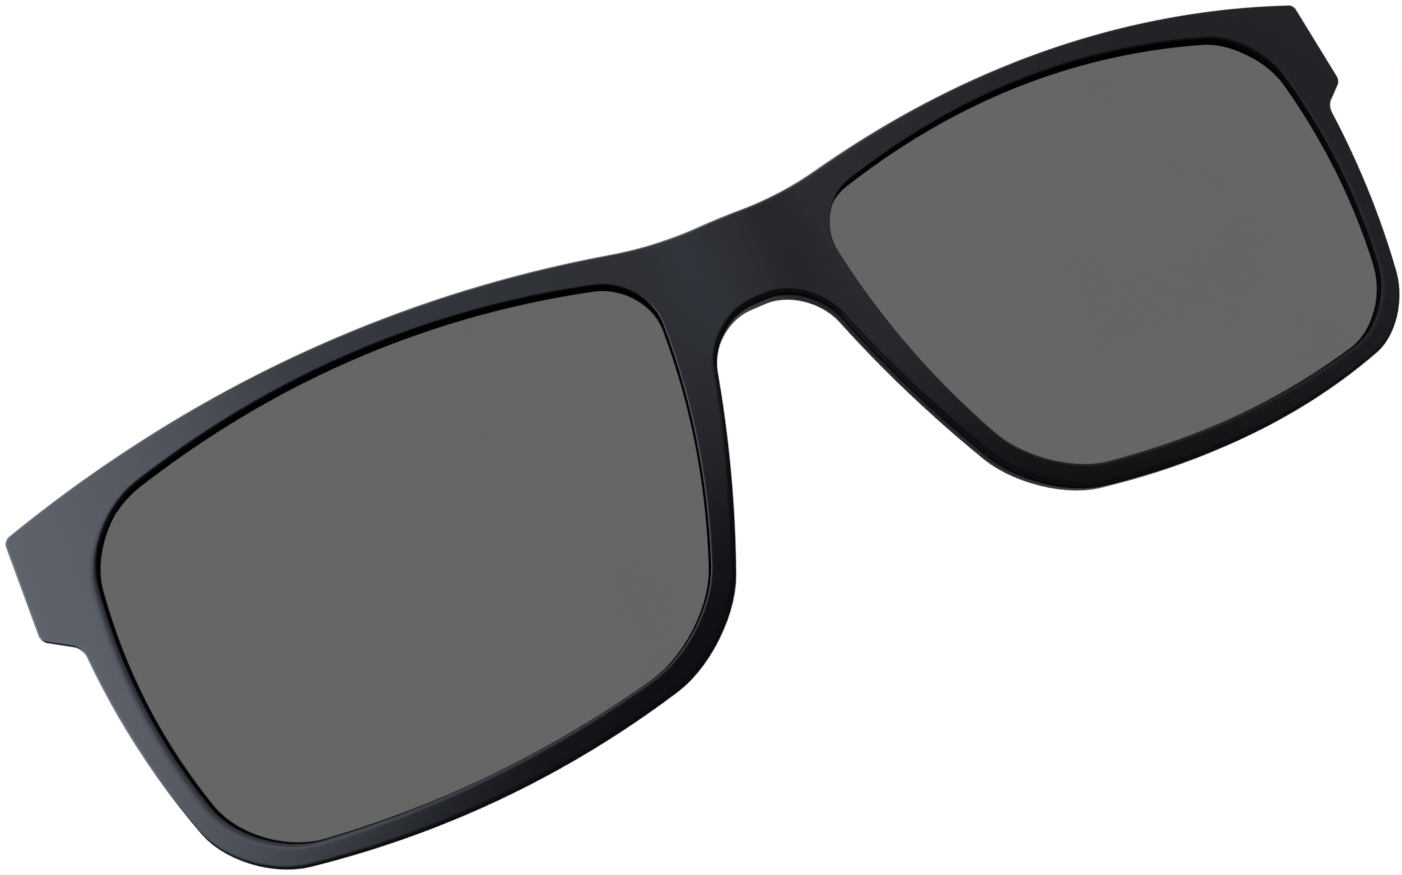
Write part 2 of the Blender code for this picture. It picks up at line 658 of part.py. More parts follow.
def friction_washer(name, sign, holder, finish):
    mesh = bmesh.new()
    near = sign * (MIDDLE_KNUCKLE_HALF + RUNNING_GAP)
    far = near + sign * WASHER_THICKNESS
    rim = KNUCKLE_RADIUS - RUNNING_GAP
    lathe(mesh, [(PIN_BORE, near), (rim, near), (rim, far), (PIN_BORE, far)], HINGE, (1, 0, 0))
    piece(name, mesh, holder, finish)


# The clip

def clip_body(holder, finish):
    mesh = bmesh.new()
    box(mesh, (-BODY_HALF_WIDTH, BODY_FRONT, BODY_FOOT), (BODY_HALF_WIDTH, BODY_BACK, BODY_TOP))
    soften(mesh, CASE_EDGE)
    body = piece("clip_body", mesh, holder, finish)
    knuckle = bmesh.new()
    profile = [over_pin(math.pi * i / ROUND_SIDES) for i in range(ROUND_SIDES + 1)]
    neck = KNUCKLE_RADIUS - CASE_EDGE
    foot = BODY_TOP - BODY_ROOF / 2
    prism(knuckle, profile + [(HINGE_Y - neck, foot), (HINGE_Y + neck, foot)], -MIDDLE_KNUCKLE_HALF,
          MIDDLE_KNUCKLE_HALF, "X")
    combine(body, knuckle, "UNION")
    combine(body, pin_bore(), "DIFFERENCE")
    pocket = bmesh.new()
    box(pocket, (-POCKET_HALF_WIDTH, POCKET_FRONT, POCKET_FOOT),
        (POCKET_HALF_WIDTH, BODY_BACK + CUTTER_REACH, POCKET_TOP))
    combine(body, pocket, "DIFFERENCE")
    gate = bmesh.new()
    half = JAW_STEM_HALF + SLIDE_GAP
    box(gate, (-half, POCKET_FRONT, BODY_FOOT - CUTTER_REACH),
        (half, BODY_BACK + CUTTER_REACH, POCKET_FOOT + SLIDE_GAP))
    combine(body, gate, "DIFFERENCE")
    for x in (-COVER_SCREW_X, COVER_SCREW_X):
        hole = bmesh.new()
        radius = SCREW_RADIUS + RUNNING_GAP
        bottom = COVER_FRONT - COVER_SCREW_DEPTH - SEAT_GAP
        lathe(hole, [(0.0, bottom), (radius, bottom), (radius, COVER_BACK), (0.0, COVER_BACK)],
              (x, 0.0, COVER_SCREW_Z), (0, 1, 0))
        combine(body, hole, "DIFFERENCE")


def slide_cover(holder, finish):
    mesh = bmesh.new()
    box(mesh, (-BODY_HALF_WIDTH, COVER_FRONT, BODY_FOOT), (BODY_HALF_WIDTH, COVER_BACK, COVER_TOP))
    soften(mesh, CASE_EDGE)
    cover = piece("slide_cover", mesh, holder, finish)
    slot = bmesh.new()
    box(slot, (-SLOT_HALF_WIDTH, COVER_FRONT - CUTTER_REACH, BODY_FOOT - CUTTER_REACH),
        (SLOT_HALF_WIDTH, COVER_BACK + CUTTER_REACH, SLOT_TOP))
    combine(cover, slot, "DIFFERENCE")
    for sign in (-1, 1):
        socket = bmesh.new()
        floor = COVER_TOP - HOOK_SOCKET - SEAT_GAP
        roof = COVER_TOP + CUTTER_REACH
        lathe(socket, [(0.0, floor), (WIRE_BORE, floor), (WIRE_BORE, roof), (0.0, roof)],
              (sign * HOOK_X, COVER_MIDDLE, 0.0), (0, 0, 1))
        combine(cover, socket, "DIFFERENCE")
        hole = screw_hole(sign * COVER_SCREW_X, COVER_BACK, COVER_SCREW_Z, COVER_THICKNESS + CUTTER_REACH)
        combine(cover, hole, "DIFFERENCE")


def bridge_pad(holder, finish):
    mesh = bmesh.new()
    box(mesh, (-PAD_HALF_WIDTH, COVER_BACK + SEAT_GAP, PAD_FOOT), (PAD_HALF_WIDTH, PAD_BACK, PAD_TOP))
    soften(mesh, PAD_EDGE)
    piece("bridge_pad", mesh, holder, finish)


def upper_hook(side, sign, holder, wire, vinyl):
    """Hook that rises out of the cover, goes back over the spectacle bridge and turns down behind it."""
    x = sign * HOOK_X
    back, up = Vector((0, 1, 0)), Vector((0, 0, 1))
    tip = UPPER_HOOK_Z - HOOK_TIP
    path = [Vector((x, COVER_MIDDLE, COVER_TOP - HOOK_SOCKET))]
    path += bend(Vector((x, COVER_MIDDLE, UPPER_HOOK_Z)), up, back, HOOK_BEND)
    path += bend(Vector((x, HOOK_Y, UPPER_HOOK_Z)), back, -up, HOOK_BEND)
    path.append(Vector((x, HOOK_Y, tip)))
    mesh = bmesh.new()
    sweep(mesh, path, WIRE_RADIUS, WIRE_SIDES)
    piece(f"upper_hook_{side}", mesh, holder, wire)
    sleeve = bmesh.new()
    foot = tip - SEAT_GAP
    profile = [(0.0, foot), (WIRE_BORE, foot), (WIRE_BORE, foot + SLEEVE_LENGTH),
               (SLEEVE_RADIUS, foot + SLEEVE_LENGTH), (SLEEVE_RADIUS, foot)]
    dome = [math.pi / 2 * i / BEND_STEPS for i in range(1, BEND_STEPS)]
    profile += [(SLEEVE_RADIUS * math.cos(a), foot - SLEEVE_RADIUS * math.sin(a)) for a in dome]
    profile.append((0.0, foot - SLEEVE_RADIUS))
    lathe(sleeve, profile, (x, HOOK_Y, 0.0), (0, 0, 1), WIRE_SIDES * 2)
    piece(f"upper_sleeve_{side}", sleeve, holder, vinyl)


# The sliding jaw

def jaw_slide(holder, finish):
    """Tee that slides in the body: its head rests on the springs, its stem holds the lower hook."""
    mesh = bmesh.new()
    head = POCKET_HALF_WIDTH - SLIDE_GAP
    stem = JAW_STEM_HALF
    prism(mesh, [(-head, JAW_TOP), (head, JAW_TOP), (head, JAW_HEAD_FOOT), (stem, JAW_HEAD_FOOT),
                 (stem, JAW_FOOT), (-stem, JAW_FOOT), (-stem, JAW_HEAD_FOOT), (-head, JAW_HEAD_FOOT)],
          JAW_FRONT, JAW_BACK, "Y")
    jaw = piece("jaw_slide", mesh, holder, finish)
    for x in (-LOOP_RADIUS, LOOP_RADIUS):
        hole = bmesh.new()
        floor, mouth = JAW_FRONT + SLIDE_GAP, JAW_BACK + CUTTER_REACH
        lathe(hole, [(0.0, floor), (WIRE_BORE, floor), (WIRE_BORE, mouth), (0.0, mouth)],
              (x, 0.0, LOWER_HOOK_Z), (0, 1, 0))
        combine(jaw, hole, "DIFFERENCE")


def lower_hook(holder, wire, vinyl):
    """Wire loop that goes back under the spectacle bridge and turns up behind it."""
    back, up = Vector((0, 1, 0)), Vector((0, 0, 1))
    shoulder = LOWER_HOOK_Z + HOOK_BEND + LOOP_RISE
    leg = [Vector((-LOOP_RADIUS, JAW_FRONT + SLIDE_GAP + SEAT_GAP, LOWER_HOOK_Z))]
    leg += bend(Vector((-LOOP_RADIUS, HOOK_Y, LOWER_HOOK_Z)), back, up, HOOK_BEND)
    steps = 2 * BEND_STEPS
    turns = [math.pi * (1 - i / steps) for i in range(steps + 1)]
    loop = [Vector((LOOP_RADIUS * math.cos(a), HOOK_Y, shoulder + LOOP_RADIUS * math.sin(a)))
            for a in turns]
    other_leg = [Vector((-p.x, p.y, p.z)) for p in reversed(leg)]
    mesh = bmesh.new()
    sweep(mesh, leg + loop + other_leg, WIRE_RADIUS, WIRE_SIDES)
    piece("lower_hook", mesh, holder, wire)
    sleeve = bmesh.new()
    sweep(sleeve, loop, SLEEVE_RADIUS, WIRE_SIDES, bore=WIRE_BORE)
    piece("lower_sleeve", sleeve, holder, vinyl)


def jaw_spring(side, sign, holder, finish):
    """Coil spring between the floor of the body and the head of the jaw."""
    room = (BODY_BACK - POCKET_FRONT) / 2
    coil = room - SEAT_GAP - SPRING_WIRE
    centre = Vector((sign * (JAW_STEM_HALF + POCKET_HALF_WIDTH) / 2, POCKET_FRONT + room, 0.0))
    foot = POCKET_FOOT + SEAT_GAP + SPRING_WIRE
    top = JAW_HEAD_FOOT - SEAT_GAP - SPRING_WIRE
    count = SPRING_TURNS * SPRING_STEPS
    path = []
    for i in range(count + 1):
        turn = 2 * math.pi * i / SPRING_STEPS
        height = foot + (top - foot) * i / count
        path.append(centre + Vector((coil * math.cos(turn), coil * math.sin(turn), height)))
    mesh = bmesh.new()
    sweep(mesh, path, SPRING_WIRE, SPRING_SIDES)
    piece(f"jaw_spring_{side}", mesh, holder, finish)


def main():
    for old in list(bpy.data.objects):
        bpy.data.objects.remove(old)
    plastic = material("charcoal_plastic", (0.035, 0.037, 0.043), 0.5)
    glass = material("grey_lens", (0.13, 0.13, 0.13), 0.05, transmission=1.0)
    steel = material("spring_steel", (0.55, 0.56, 0.58), 0.3, metallic=1.0)
    case = material("black_case", (0.02, 0.02, 0.022), 0.45)
    bronze = material("bronze_washer", (0.5, 0.33, 0.16), 0.35, metallic=1.0)
    silicone = material("grey_silicone", (0.1, 0.1, 0.11), 0.7)
    vinyl = material("clear_vinyl", (0.75, 0.76, 0.76), 0.35, transmission=0.6)

    clip = carrier("clip_carrier", SEAT)
    flip = carrier("flip_carrier", HINGE)
    jaw = carrier("jaw_carrier", JAW)

    front_frame(flip, plastic)
    outline = lens_outline()
    middle = HALF_LENS_GAP + LENS_TOP_WIDTH / 2
    lens("lens_left", outline, middle, flip, glass)
    lens("lens_right", mirrored(outline), -middle, flip, glass)
    hinge_leaf(flip, steel)
    hinge_pin(flip, steel)

    clip_body(clip, case)
    slide_cover(clip, case)
    bridge_pad(clip, silicone)
    jaw_slide(jaw, steel)
    lower_hook(jaw, steel, vinyl)

    for side, sign in (("right", -1), ("left", 1)):
        screw(f"leaf_screw_{side}", sign * LEAF_SCREW_X, LEAF_BACK, LEAF_SCREW_Z,
              LEAF_BACK - FRONT_THICKNESS + LEAF_SCREW_DEPTH, flip, steel)
        screw(f"cover_screw_{side}", sign * COVER_SCREW_X, COVER_BACK, COVER_SCREW_Z,
              COVER_THICKNESS + COVER_SCREW_DEPTH, clip, steel)
        friction_washer(f"friction_washer_{side}", sign, clip, bronze)
        upper_hook(side, sign, clip, steel, vinyl)
        jaw_spring(side, sign, clip, steel)


main()
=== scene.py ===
"""Looks of the flip-up clip-on lenses: the moulded front, its tinted lenses and the sprung clip."""

import json
import math

import bmesh
import bpy
from mathutils import Matrix, Vector


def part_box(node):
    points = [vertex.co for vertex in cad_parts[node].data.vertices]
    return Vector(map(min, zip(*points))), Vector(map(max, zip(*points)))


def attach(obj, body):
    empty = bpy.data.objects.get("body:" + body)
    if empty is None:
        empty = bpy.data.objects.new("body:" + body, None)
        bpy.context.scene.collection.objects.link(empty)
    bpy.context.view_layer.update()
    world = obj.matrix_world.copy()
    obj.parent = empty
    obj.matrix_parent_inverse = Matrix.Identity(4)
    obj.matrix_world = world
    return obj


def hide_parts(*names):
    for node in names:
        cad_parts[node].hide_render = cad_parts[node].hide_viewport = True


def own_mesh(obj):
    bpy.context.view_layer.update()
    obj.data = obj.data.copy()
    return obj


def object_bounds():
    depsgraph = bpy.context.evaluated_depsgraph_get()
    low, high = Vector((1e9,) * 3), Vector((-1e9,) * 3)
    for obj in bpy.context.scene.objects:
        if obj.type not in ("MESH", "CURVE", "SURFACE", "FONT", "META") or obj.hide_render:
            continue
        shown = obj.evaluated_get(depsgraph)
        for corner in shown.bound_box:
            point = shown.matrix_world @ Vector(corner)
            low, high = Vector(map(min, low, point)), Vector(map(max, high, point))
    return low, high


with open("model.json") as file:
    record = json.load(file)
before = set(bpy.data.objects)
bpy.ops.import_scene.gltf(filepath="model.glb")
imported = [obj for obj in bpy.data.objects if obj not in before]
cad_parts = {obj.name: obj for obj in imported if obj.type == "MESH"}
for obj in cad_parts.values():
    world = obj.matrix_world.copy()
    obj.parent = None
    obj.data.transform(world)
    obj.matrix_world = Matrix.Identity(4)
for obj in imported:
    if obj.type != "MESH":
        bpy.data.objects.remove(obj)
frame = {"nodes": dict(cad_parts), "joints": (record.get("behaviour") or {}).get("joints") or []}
cad_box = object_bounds()

MM = 0.001
WEARER_SIDES = ("right", "left")

# Outlines in mm from the middle of the front face: x, z, rounding, bulge of the side that follows
LENS_CORNERS = (
    (8.8, 15.0, 4.5, 4.4),
    (62.6, 15.35, 5.7, 2.5),
    (59.2, -17.1, 5.6, 2.45),
    (17.2, -16.8, 6.0, 1.95),
)
FRONT_CORNERS = (
    (0.0, 17.65, 0.0, 0.0),
    (6.55, 17.65, 4.1, 4.2),
    (70.0, 17.45, 0.6, 0.0),
    (70.0, 7.65, 0.6, 0.0),
    (66.8, 5.5, 0.8, 1.05),
    (61.0, -18.5, 5.45, 3.1),
    (15.6, -18.5, 6.15, 0.95),
    (5.25, 8.65, 4.45, 0.0),
    (0.0, 8.65, 0.0, 0.0),
)

# Section of the front and its lenses; a pair is the size beside the bridge and the size at the temple
FRONT_WIDTH = 2 * FRONT_CORNERS[2][0] * MM
FRONT_THICKNESS = 1.8 * MM
EDGE_ROUND = (0.5 * MM, 0.22 * MM)
LIP_ROUND = (0.12 * MM, 0.3 * MM)
FLAT_BORDER = 0.15 * MM
WRAP_RADIUS = 400.0 * MM
BRIDGE_CROWN = 0.8 * MM
BRIDGE_HALF = 8.8 * MM
LENS_RECESS = 0.5 * MM
LENS_THICKNESS = 0.8 * MM
LENS_TOP_WIDTH = 53.8 * MM
GROOVE_DEPTH = 0.6 * MM
GROOVE_CLEARANCE = 0.1 * MM
LENS_EDGE_CHAMFER = 0.15 * MM
BACK_LIP_SETBACK = 0.8 * MM
TEMPLE_LIP = 0.6 * MM
LEAF_SCREW = Vector((4.2, 12.95)) * MM
LEAF_SCREW_BORE = 0.55 * MM
LEAF_SCREW_HOLE = 1.3 * MM

# How finely the pieces are drawn; a step along a side of an outline is in mm, as the outlines are
SIDE_STEP = 1.5
CORNER_STEPS = 14
LEAST_STEPS = 2
EDGE_STEPS = 6
FACE_CUTS = 96
LEAST_CUTS = 8
EASE_STEPS = 3
BEND_STEPS = 10
LOOP_STEPS = 3 * BEND_STEPS
CAP_STEPS = 12
LIP_STEPS = 4
PIN_DOME_STEPS = 10
COIL_STEPS = 40
SPRING_SIDES = 12
WIRE_SIDES = 24
TURNED_SIDES = 48
PAD_COLUMNS = 40
PAD_ROWS = 84
SAME_PLACE = 1e-6

# The front's finishes after the first, which are copies of the plastic darkened as painted shade, the
# ring half-way round an edge where they begin, and the slope past which a wall looks down and has the
# last one
SHADED_WALL_SLOT = 1
SHADED_UNDERSIDE_SLOT = 2
STEEP_RING = EDGE_STEPS // 2 + 1
UNDERSIDE_SLOPE = -0.03

# How far towards its corner the handles of a round corner's curve reach
CIRCLE_HANDLE = 0.552

# Angles between faces in degrees: still one flat, hard enough to be eased, and sharp in the shading
FLAT_ANGLE = 1
HARD_ANGLE = 32
SHARP_ANGLE = 35
TUBE_SHARP_ANGLE = 50
PAD_SHARP_ANGLE = 60

# The clip's wire, screws and springs; a screw is turned by up to SCREW_TURN radians either way
WIRE_RADIUS = 0.45 * MM
HOOK_BEND = 1.1 * MM
SLEEVE_BORE = 0.5 * MM
SLEEVE_ROUND = 0.08 * MM
WIRE_END_RISE = 0.85 * MM
LOOP_RADIUS = 1.5 * MM
SCREW_RADIUS = 0.5 * MM
SCREW_SLOT_WIDTH = 0.25 * MM
SCREW_SLOT_DEPTH = 0.2 * MM
SCREW_HEAD_RADIUS = 0.75 * MM
SCREW_HEAD_EDGE = 0.1 * MM
SCREW_HEAD_DEPTH = 0.5 * MM
SCREW_HEAD_EASE = 0.05 * MM
SCREW_TIP = 0.15 * MM
SCREW_TURN = 0.9
LEAF_SCREW_SEED = 3
COVER_SCREW_SEED = 8
PIN_RADIUS = 0.6 * MM
PIN_DOME = 0.25 * MM
PIN_EASE = 0.1 * MM
PIN_FIT = 0.05 * MM
PAD_RIBS = 7
PAD_EDGE = 0.25 * MM
PAD_RIB_DEPTH = 0.09 * MM
SPRING_WIRE = 0.13 * MM
SPRING_TURNS = 5
LEAF_EASE = 0.12 * MM
CASE_EASE = 0.1 * MM
JAW_EASE = 0.08 * MM
WASHER_EASE = 0.03 * MM

# Patches of tone, handling, and wear with its painted highlight in a metre, and the spans of a noise that
# they use
TONE_PATCHES = 55.0
HANDLED_PATCHES = 210.0
WEAR_AND_HIGHLIGHT_PATCHES = 900.0
PATCH_SPAN = (0.3, 0.7)
LINE_SPAN = (0.25, 0.75)

# What worn edges, lighter as wear and as a painted highlight, and lines do to a finish, and the lines of
# each metal in a metre along its X, Y and Z
LEAST_WEAR_AND_HIGHLIGHT = 0.35
WEAR_POLISH = -0.12
WEAR_AND_HIGHLIGHT_BRIGHTENS = 1.35
LINE_TONES = (0.86, 1.08)
LINE_ROUGHNESS = (-0.08, 0.1)
LINE_BUMP = 0.15
LINE_DEPTH = 0.01 * MM
DRAWN_LINES = (400.0, 9000.0, 9000.0)
TURNED_LINES = (3000.0, 3000.0, 3000.0)
PRESSED_LINES = (5000.0, 5000.0, 5000.0)
LENS_TINT = (0.132, 0.132, 0.132)
VINYL_TINT = (0.82, 0.83, 0.82)
VINYL_BUMP = 0.1
VINYL_DEPTH = 0.02 * MM
GRAIN_DEPTH = 0.1

# Camera: where it stands, where it looks, and its field of view
CAMERA_PLACE = Vector((-29.31, -114.3, -34.87)) * MM
CAMERA_AHEAD = Vector((0.1723, 0.9708, 0.1669))
CAMERA_UP = Vector((0.4003, -0.2238, 0.8886))
CAMERA_LENS = 31.325
CAMERA_SENSOR = 36.0
CAMERA_NEAR = 5.0 * MM

# The studio in front of the object: a cool window at the left and a dim room. Its levels, and the heights
# of the sills under which it is dark, go by the X of a direction. The peak and the offset bring both into
# the range of a ramp.
STUDIO_LEVELS = ((-1.0, 3.6), (-0.75, 3.5), (-0.6, 3.0), (-0.45, 2.4), (-0.3, 1.03), (0.0, 0.8),
                 (0.4, 0.7), (0.7, 0.37), (1.0, 0.24))
STUDIO_PEAK = 4.25
STUDIO_SILLS = ((-0.75, -0.14), (-0.5, -0.09), (-0.25, 0.0), (0.0, 0.08), (0.4, 0.025), (0.8, -0.11))
SILL_OFFSET = 0.5
SILL_DEPTH = 0.15
WINDOW_TINT = (0.87, 0.97, 1.17)
ROOM_TINT = (0.87, 0.84, 1.0)
ROOM_START = 0.4
BACKDROP_SPAN = (0.3, 0.85)
BACKDROP_LIGHT = 0.8

# The stage and its lamp
FLOOR_DROP = 60.0 * MM
FLOOR_SIZE = 2.0
FLOOR_BACK = (20.0 * MM, 150.0 * MM)
FLOOR_PAPER = (0.5, 0.5, 0.5, 1.0)
FLOOR_GLOW = (1.0, 0.97, 0.93, 1.0)
FLOOR_GLOW_STRENGTH = 0.52
FLOOR_SHADE = (0.05, 0.05, 0.05, 1.0)
SOFTBOX_PLACE = Vector((-0.1, 0.1, 0.7))
SOFTBOX_SIZE = 0.6
SOFTBOX_POWER = 1.2

flip_joint = next(joint for joint in frame["joints"] if joint["name"] == "flip")
FACE_TO_HINGE = Vector((0.0, 4.245, 17.85)) * MM
HINGE = Vector(flip_joint["pos_m"])
FACE = HINGE - FACE_TO_HINGE


# Outlines

def side_point(start, end, bulge, share):
    """Point of a shallow curve from start to end that stands out to its left by bulge."""
    along = end - start
    left = Vector((-along.y, along.x)).normalized()
    return start + along * share + left * (4 * bulge * share * (1 - share))


def side_heading(start, end, bulge, share):
    """Direction of travel on the same curve."""
    along = end - start
    left = Vector((-along.y, along.x)).normalized()
    return (along + left * (4 * bulge * (1 - 2 * share))).normalized()


def corner_points(start, heading_in, end, heading_out):
    """Points of a round corner, without its two ends."""
    turn = heading_in.x * heading_out.y - heading_in.y * heading_out.x
    gap = end - start
    corner = start + heading_in * ((gap.x * heading_out.y - gap.y * heading_out.x) / turn)
    near = start.lerp(corner, CIRCLE_HANDLE)
    far = end.lerp(corner, CIRCLE_HANDLE)
    points = []
    for step in range(1, CORNER_STEPS):
        t = step / CORNER_STEPS
        s = 1 - t
        points.append(s**3 * start + 3 * s * s * t * near + 3 * s * t * t * far + t**3 * end)
    return points


def rounded_outline(corners, closed):
    """Points of an outline whose corners are rounded and whose sides bulge."""
    count = len(corners)
    sides = count if closed else count - 1
    places = [Vector((x, z)) for x, z, _, _ in corners]
    spans = []
    for i in range(sides):
        after = (i + 1) % count
        length = (places[after] - places[i]).length
        first, last = corners[i][2] / length, 1 - corners[after][2] / length
        spans.append((places[i], places[after], corners[i][3], first, last))
    points = []
    for i, (start, end, bulge, first, last) in enumerate(spans):
        steps = max(LEAST_STEPS, round((end - start).length * (last - first) / SIDE_STEP))
        for step in range(steps + 1):
            points.append(side_point(start, end, bulge, first + (last - first) * step / steps))
        if closed or i < sides - 1:
            ahead = spans[(i + 1) % sides]
            points += corner_points(points[-1], side_heading(start, end, bulge, last),
                                    side_point(*ahead[:4]), side_heading(*ahead[:4]))
    return [point * MM for point in points]


def mirrored(points):
    """The same points at -X, in the order that keeps the direction of travel."""
    return [Vector((-p.x, p.y)) for p in reversed(points)]


def grown(points, *distances):
    """The outline moved to the left of its travel, by one distance or by one for each point."""
    moved = []
    for i, p in enumerate(points):
        along = points[(i + 1) % len(points)] - points[i - 1]
        moved.append(p + Vector((-along.y, along.x)).normalized() * distances[i % len(distances)])
    return moved


def temple_share(p):
    """How far out a point lies, from 0 beside the bridge to 1 at the temple."""
    return min(1.0, max(0.0, (abs(p.x) - BRIDGE_HALF) / LENS_TOP_WIDTH))


def flared(points, distance):
    """A lens opening made wider towards the temple."""
    return [p + Vector((math.copysign(distance * temple_share(p), p.x), 0.0)) for p in points]


def circle(centre, radius):
    """Points of a circle in the plane of the front."""
    turns = [2 * math.pi * i / TURNED_SIDES for i in range(TURNED_SIDES)]
    return [centre + Vector((math.sin(a), math.cos(a))) * radius for a in turns]


LENS_EDGE = rounded_outline(LENS_CORNERS, closed=True)
FRONT_HALF = rounded_outline(FRONT_CORNERS, closed=False)
FRONT_EDGE = FRONT_HALF + mirrored(FRONT_HALF[1:-1])


# Mesh building

def linked(name, data):
    """New object of some data, put into the scene."""
    made = bpy.data.objects.new(name, data)
    bpy.context.collection.objects.link(made)
    return made


def mesh_data(name, mesh):
    """Plain mesh of a mesh under construction, which is then freed."""
    data = bpy.data.meshes.new(name)
    mesh.to_mesh(data)
    mesh.free()
    return data


def evaluated_mesh(thing, **options):
    """Plain mesh of an object as its modifiers leave it."""
    bpy.context.view_layer.update()
    graph = bpy.context.evaluated_depsgraph_get()
    return bpy.data.meshes.new_from_object(thing.evaluated_get(graph), depsgraph=graph, **options)


def ring(mesh, points, y):
    """Ring of vertices at one depth."""
    return [mesh.verts.new((p.x, y, p.y)) for p in points]


def loft(mesh, rings, slot=0):
    """Skin a list of closed rings that have as many points each. Returns the faces."""
    faces = []
    for near, far in zip(rings, rings[1:]):
        for i in range(len(near)):
            j = (i + 1) % len(near)
            faces.append(mesh.faces.new((near[i], near[j], far[j], far[i])))
            faces[-1].material_index = slot
    return faces


def fill(mesh, loops):
    """Flat face between an outer loop and the loops in it, cut by upright planes to follow the wrap."""
    edges = []
    for loop in loops:
        for i, vert in enumerate(loop):
            edges.append(mesh.edges.get((vert, loop[(i + 1) % len(loop)])))
    made = bmesh.ops.triangle_fill(mesh, use_beauty=True, edges=edges, normal=(0.0, 1.0, 0.0))
    faces = [item for item in made["geom"] if isinstance(item, bmesh.types.BMFace)]
    low = min(vert.co.x for vert in loops[0])
    high = max(vert.co.x for vert in loops[0])
    cuts = max(LEAST_CUTS, round(FACE_CUTS * (high - low) / FRONT_WIDTH))
    for i in range(1, cuts):
        edges = {edge for face in faces for edge in face.edges}
        verts = {vert for face in faces for vert in face.verts}
        cut = bmesh.ops.bisect_plane(
            mesh, geom=list(verts) + list(edges) + list(faces), dist=SAME_PLACE,
            plane_co=(low + (high - low) * i / cuts, 0.0, 0.0), plane_no=(1.0, 0.0, 0.0))
        faces = [item for item in cut["geom"] if isinstance(item, bmesh.types.BMFace)]


def wrap(mesh):
    """Bend the front round the face, crown the front of its bridge, and put it in its place."""
    for vert in mesh.verts:
        x, y, _ = vert.co
        crown = 0.0
        if abs(x) < BRIDGE_HALF:
            crown = BRIDGE_CROWN * math.cos(math.pi * x / (2 * BRIDGE_HALF)) ** 2
        share = max(0.0, 1 - y / FRONT_THICKNESS)
        vert.co.y = y + x * x / (2 * WRAP_RADIUS) - crown * share
    bmesh.ops.translate(mesh, verts=mesh.verts[:], vec=FACE)


def finished(name, mesh, body, nodes, slot, *finishes, sharp=SHARP_ANGLE):
    """Piece made of a mesh under construction that is already in its place."""
    bmesh.ops.recalc_face_normals(mesh, faces=mesh.faces[:])
    return dressed(name, mesh_data(name, mesh), body, nodes, slot, *finishes, sharp=sharp)


def dressed(name, data, body, nodes, slot, *finishes, sharp=SHARP_ANGLE):
    """Piece with its finishes: it rides a body and stands for its CAD nodes."""
    data.shade_smooth()
    data.set_sharp_from_angle(angle=math.radians(sharp))
    if not data.materials:
        for finish in finishes:
            data.materials.append(finish)
    piece = linked(name, data)
    even_shading(piece)
    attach(piece, body)
    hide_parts(*nodes)
    return piece


def even_shading(piece):
    """Let the large faces lead the shading, so that round edges do not shade the flats beside them."""
    weigh = piece.modifiers.new("even_shading", "WEIGHTED_NORMAL")
    weigh.keep_sharp = True
    shaded = evaluated_mesh(piece, preserve_all_data_layers=True)
    piece.modifiers.clear()
    plain = piece.data
    name = plain.name
    piece.data = shaded
    bpy.data.meshes.remove(plain)
    shaded.name = name


def lathe(mesh, profile, centre, axis):
    """Turn a profile of (radius, place along the axis); a radius of 0 lies on the axis."""
    axis = Vector(axis)
    across = axis.orthogonal().normalized()
    other = axis.cross(across)
    sides = TURNED_SIDES
    rings = []
    for radius, place in profile:
        middle = Vector(centre) + axis * place
        if radius == 0.0:
            rings.append([mesh.verts.new(middle)])
            continue
        turns = [2 * math.pi * i / sides for i in range(sides)]
        rings.append([mesh.verts.new(middle + (across * math.cos(a) + other * math.sin(a)) * radius)
                      for a in turns])
    hollow = all(len(points) > 1 for points in rings)
    pairs = list(zip(rings, rings[1:])) + ([(rings[-1], rings[0])] if hollow else [])
    for near, far in pairs:
        for i in range(sides):
            j = (i + 1) % sides
            corners = [near[i % len(near)], near[j % len(near)], far[j % len(far)], far[i % len(far)]]
            corners = list(dict.fromkeys(corners))
            if len(corners) > 2:
                mesh.faces.new(corners)


def arc(radius, start, end, steps):
    """Points (across, along) of an arc about its own centre, between two angles in degrees."""
    turns = [math.radians(start + (end - start) * i / steps) for i in range(steps + 1)]
    return [(radius * math.cos(a), radius * math.sin(a)) for a in turns]


def eased(node, name, body, slot, finish, width):
    """Copy of a CAD node with its hard edges rounded and marked, for wear and a painted highlight."""
    mesh = bmesh.new()
    mesh.from_mesh(frame["nodes"][node].data)
    bmesh.ops.remove_doubles(mesh, verts=mesh.verts[:], dist=SAME_PLACE)
    bmesh.ops.dissolve_limit(mesh, angle_limit=math.radians(FLAT_ANGLE), verts=mesh.verts[:],
                             edges=mesh.edges[:])
    limit = math.radians(HARD_ANGLE)
    hard = [edge for edge in mesh.edges if edge.is_manifold and edge.calc_face_angle() > limit]
    rounded = bmesh.ops.bevel(mesh, geom=hard, offset=width, segments=EASE_STEPS, profile=0.5,
                              affect="EDGES", clamp_overlap=True)
    wear_highlight_mark = mesh.verts.layers.float.new("edge")
    for face in rounded["faces"]:
        for vert in face.verts:
            vert[wear_highlight_mark] = 1.0
    bmesh.ops.triangulate(mesh, faces=[face for face in mesh.faces if len(face.verts) > 4])
    return finished(name, mesh, body, [node], slot, finish)


# Shader groups and materials

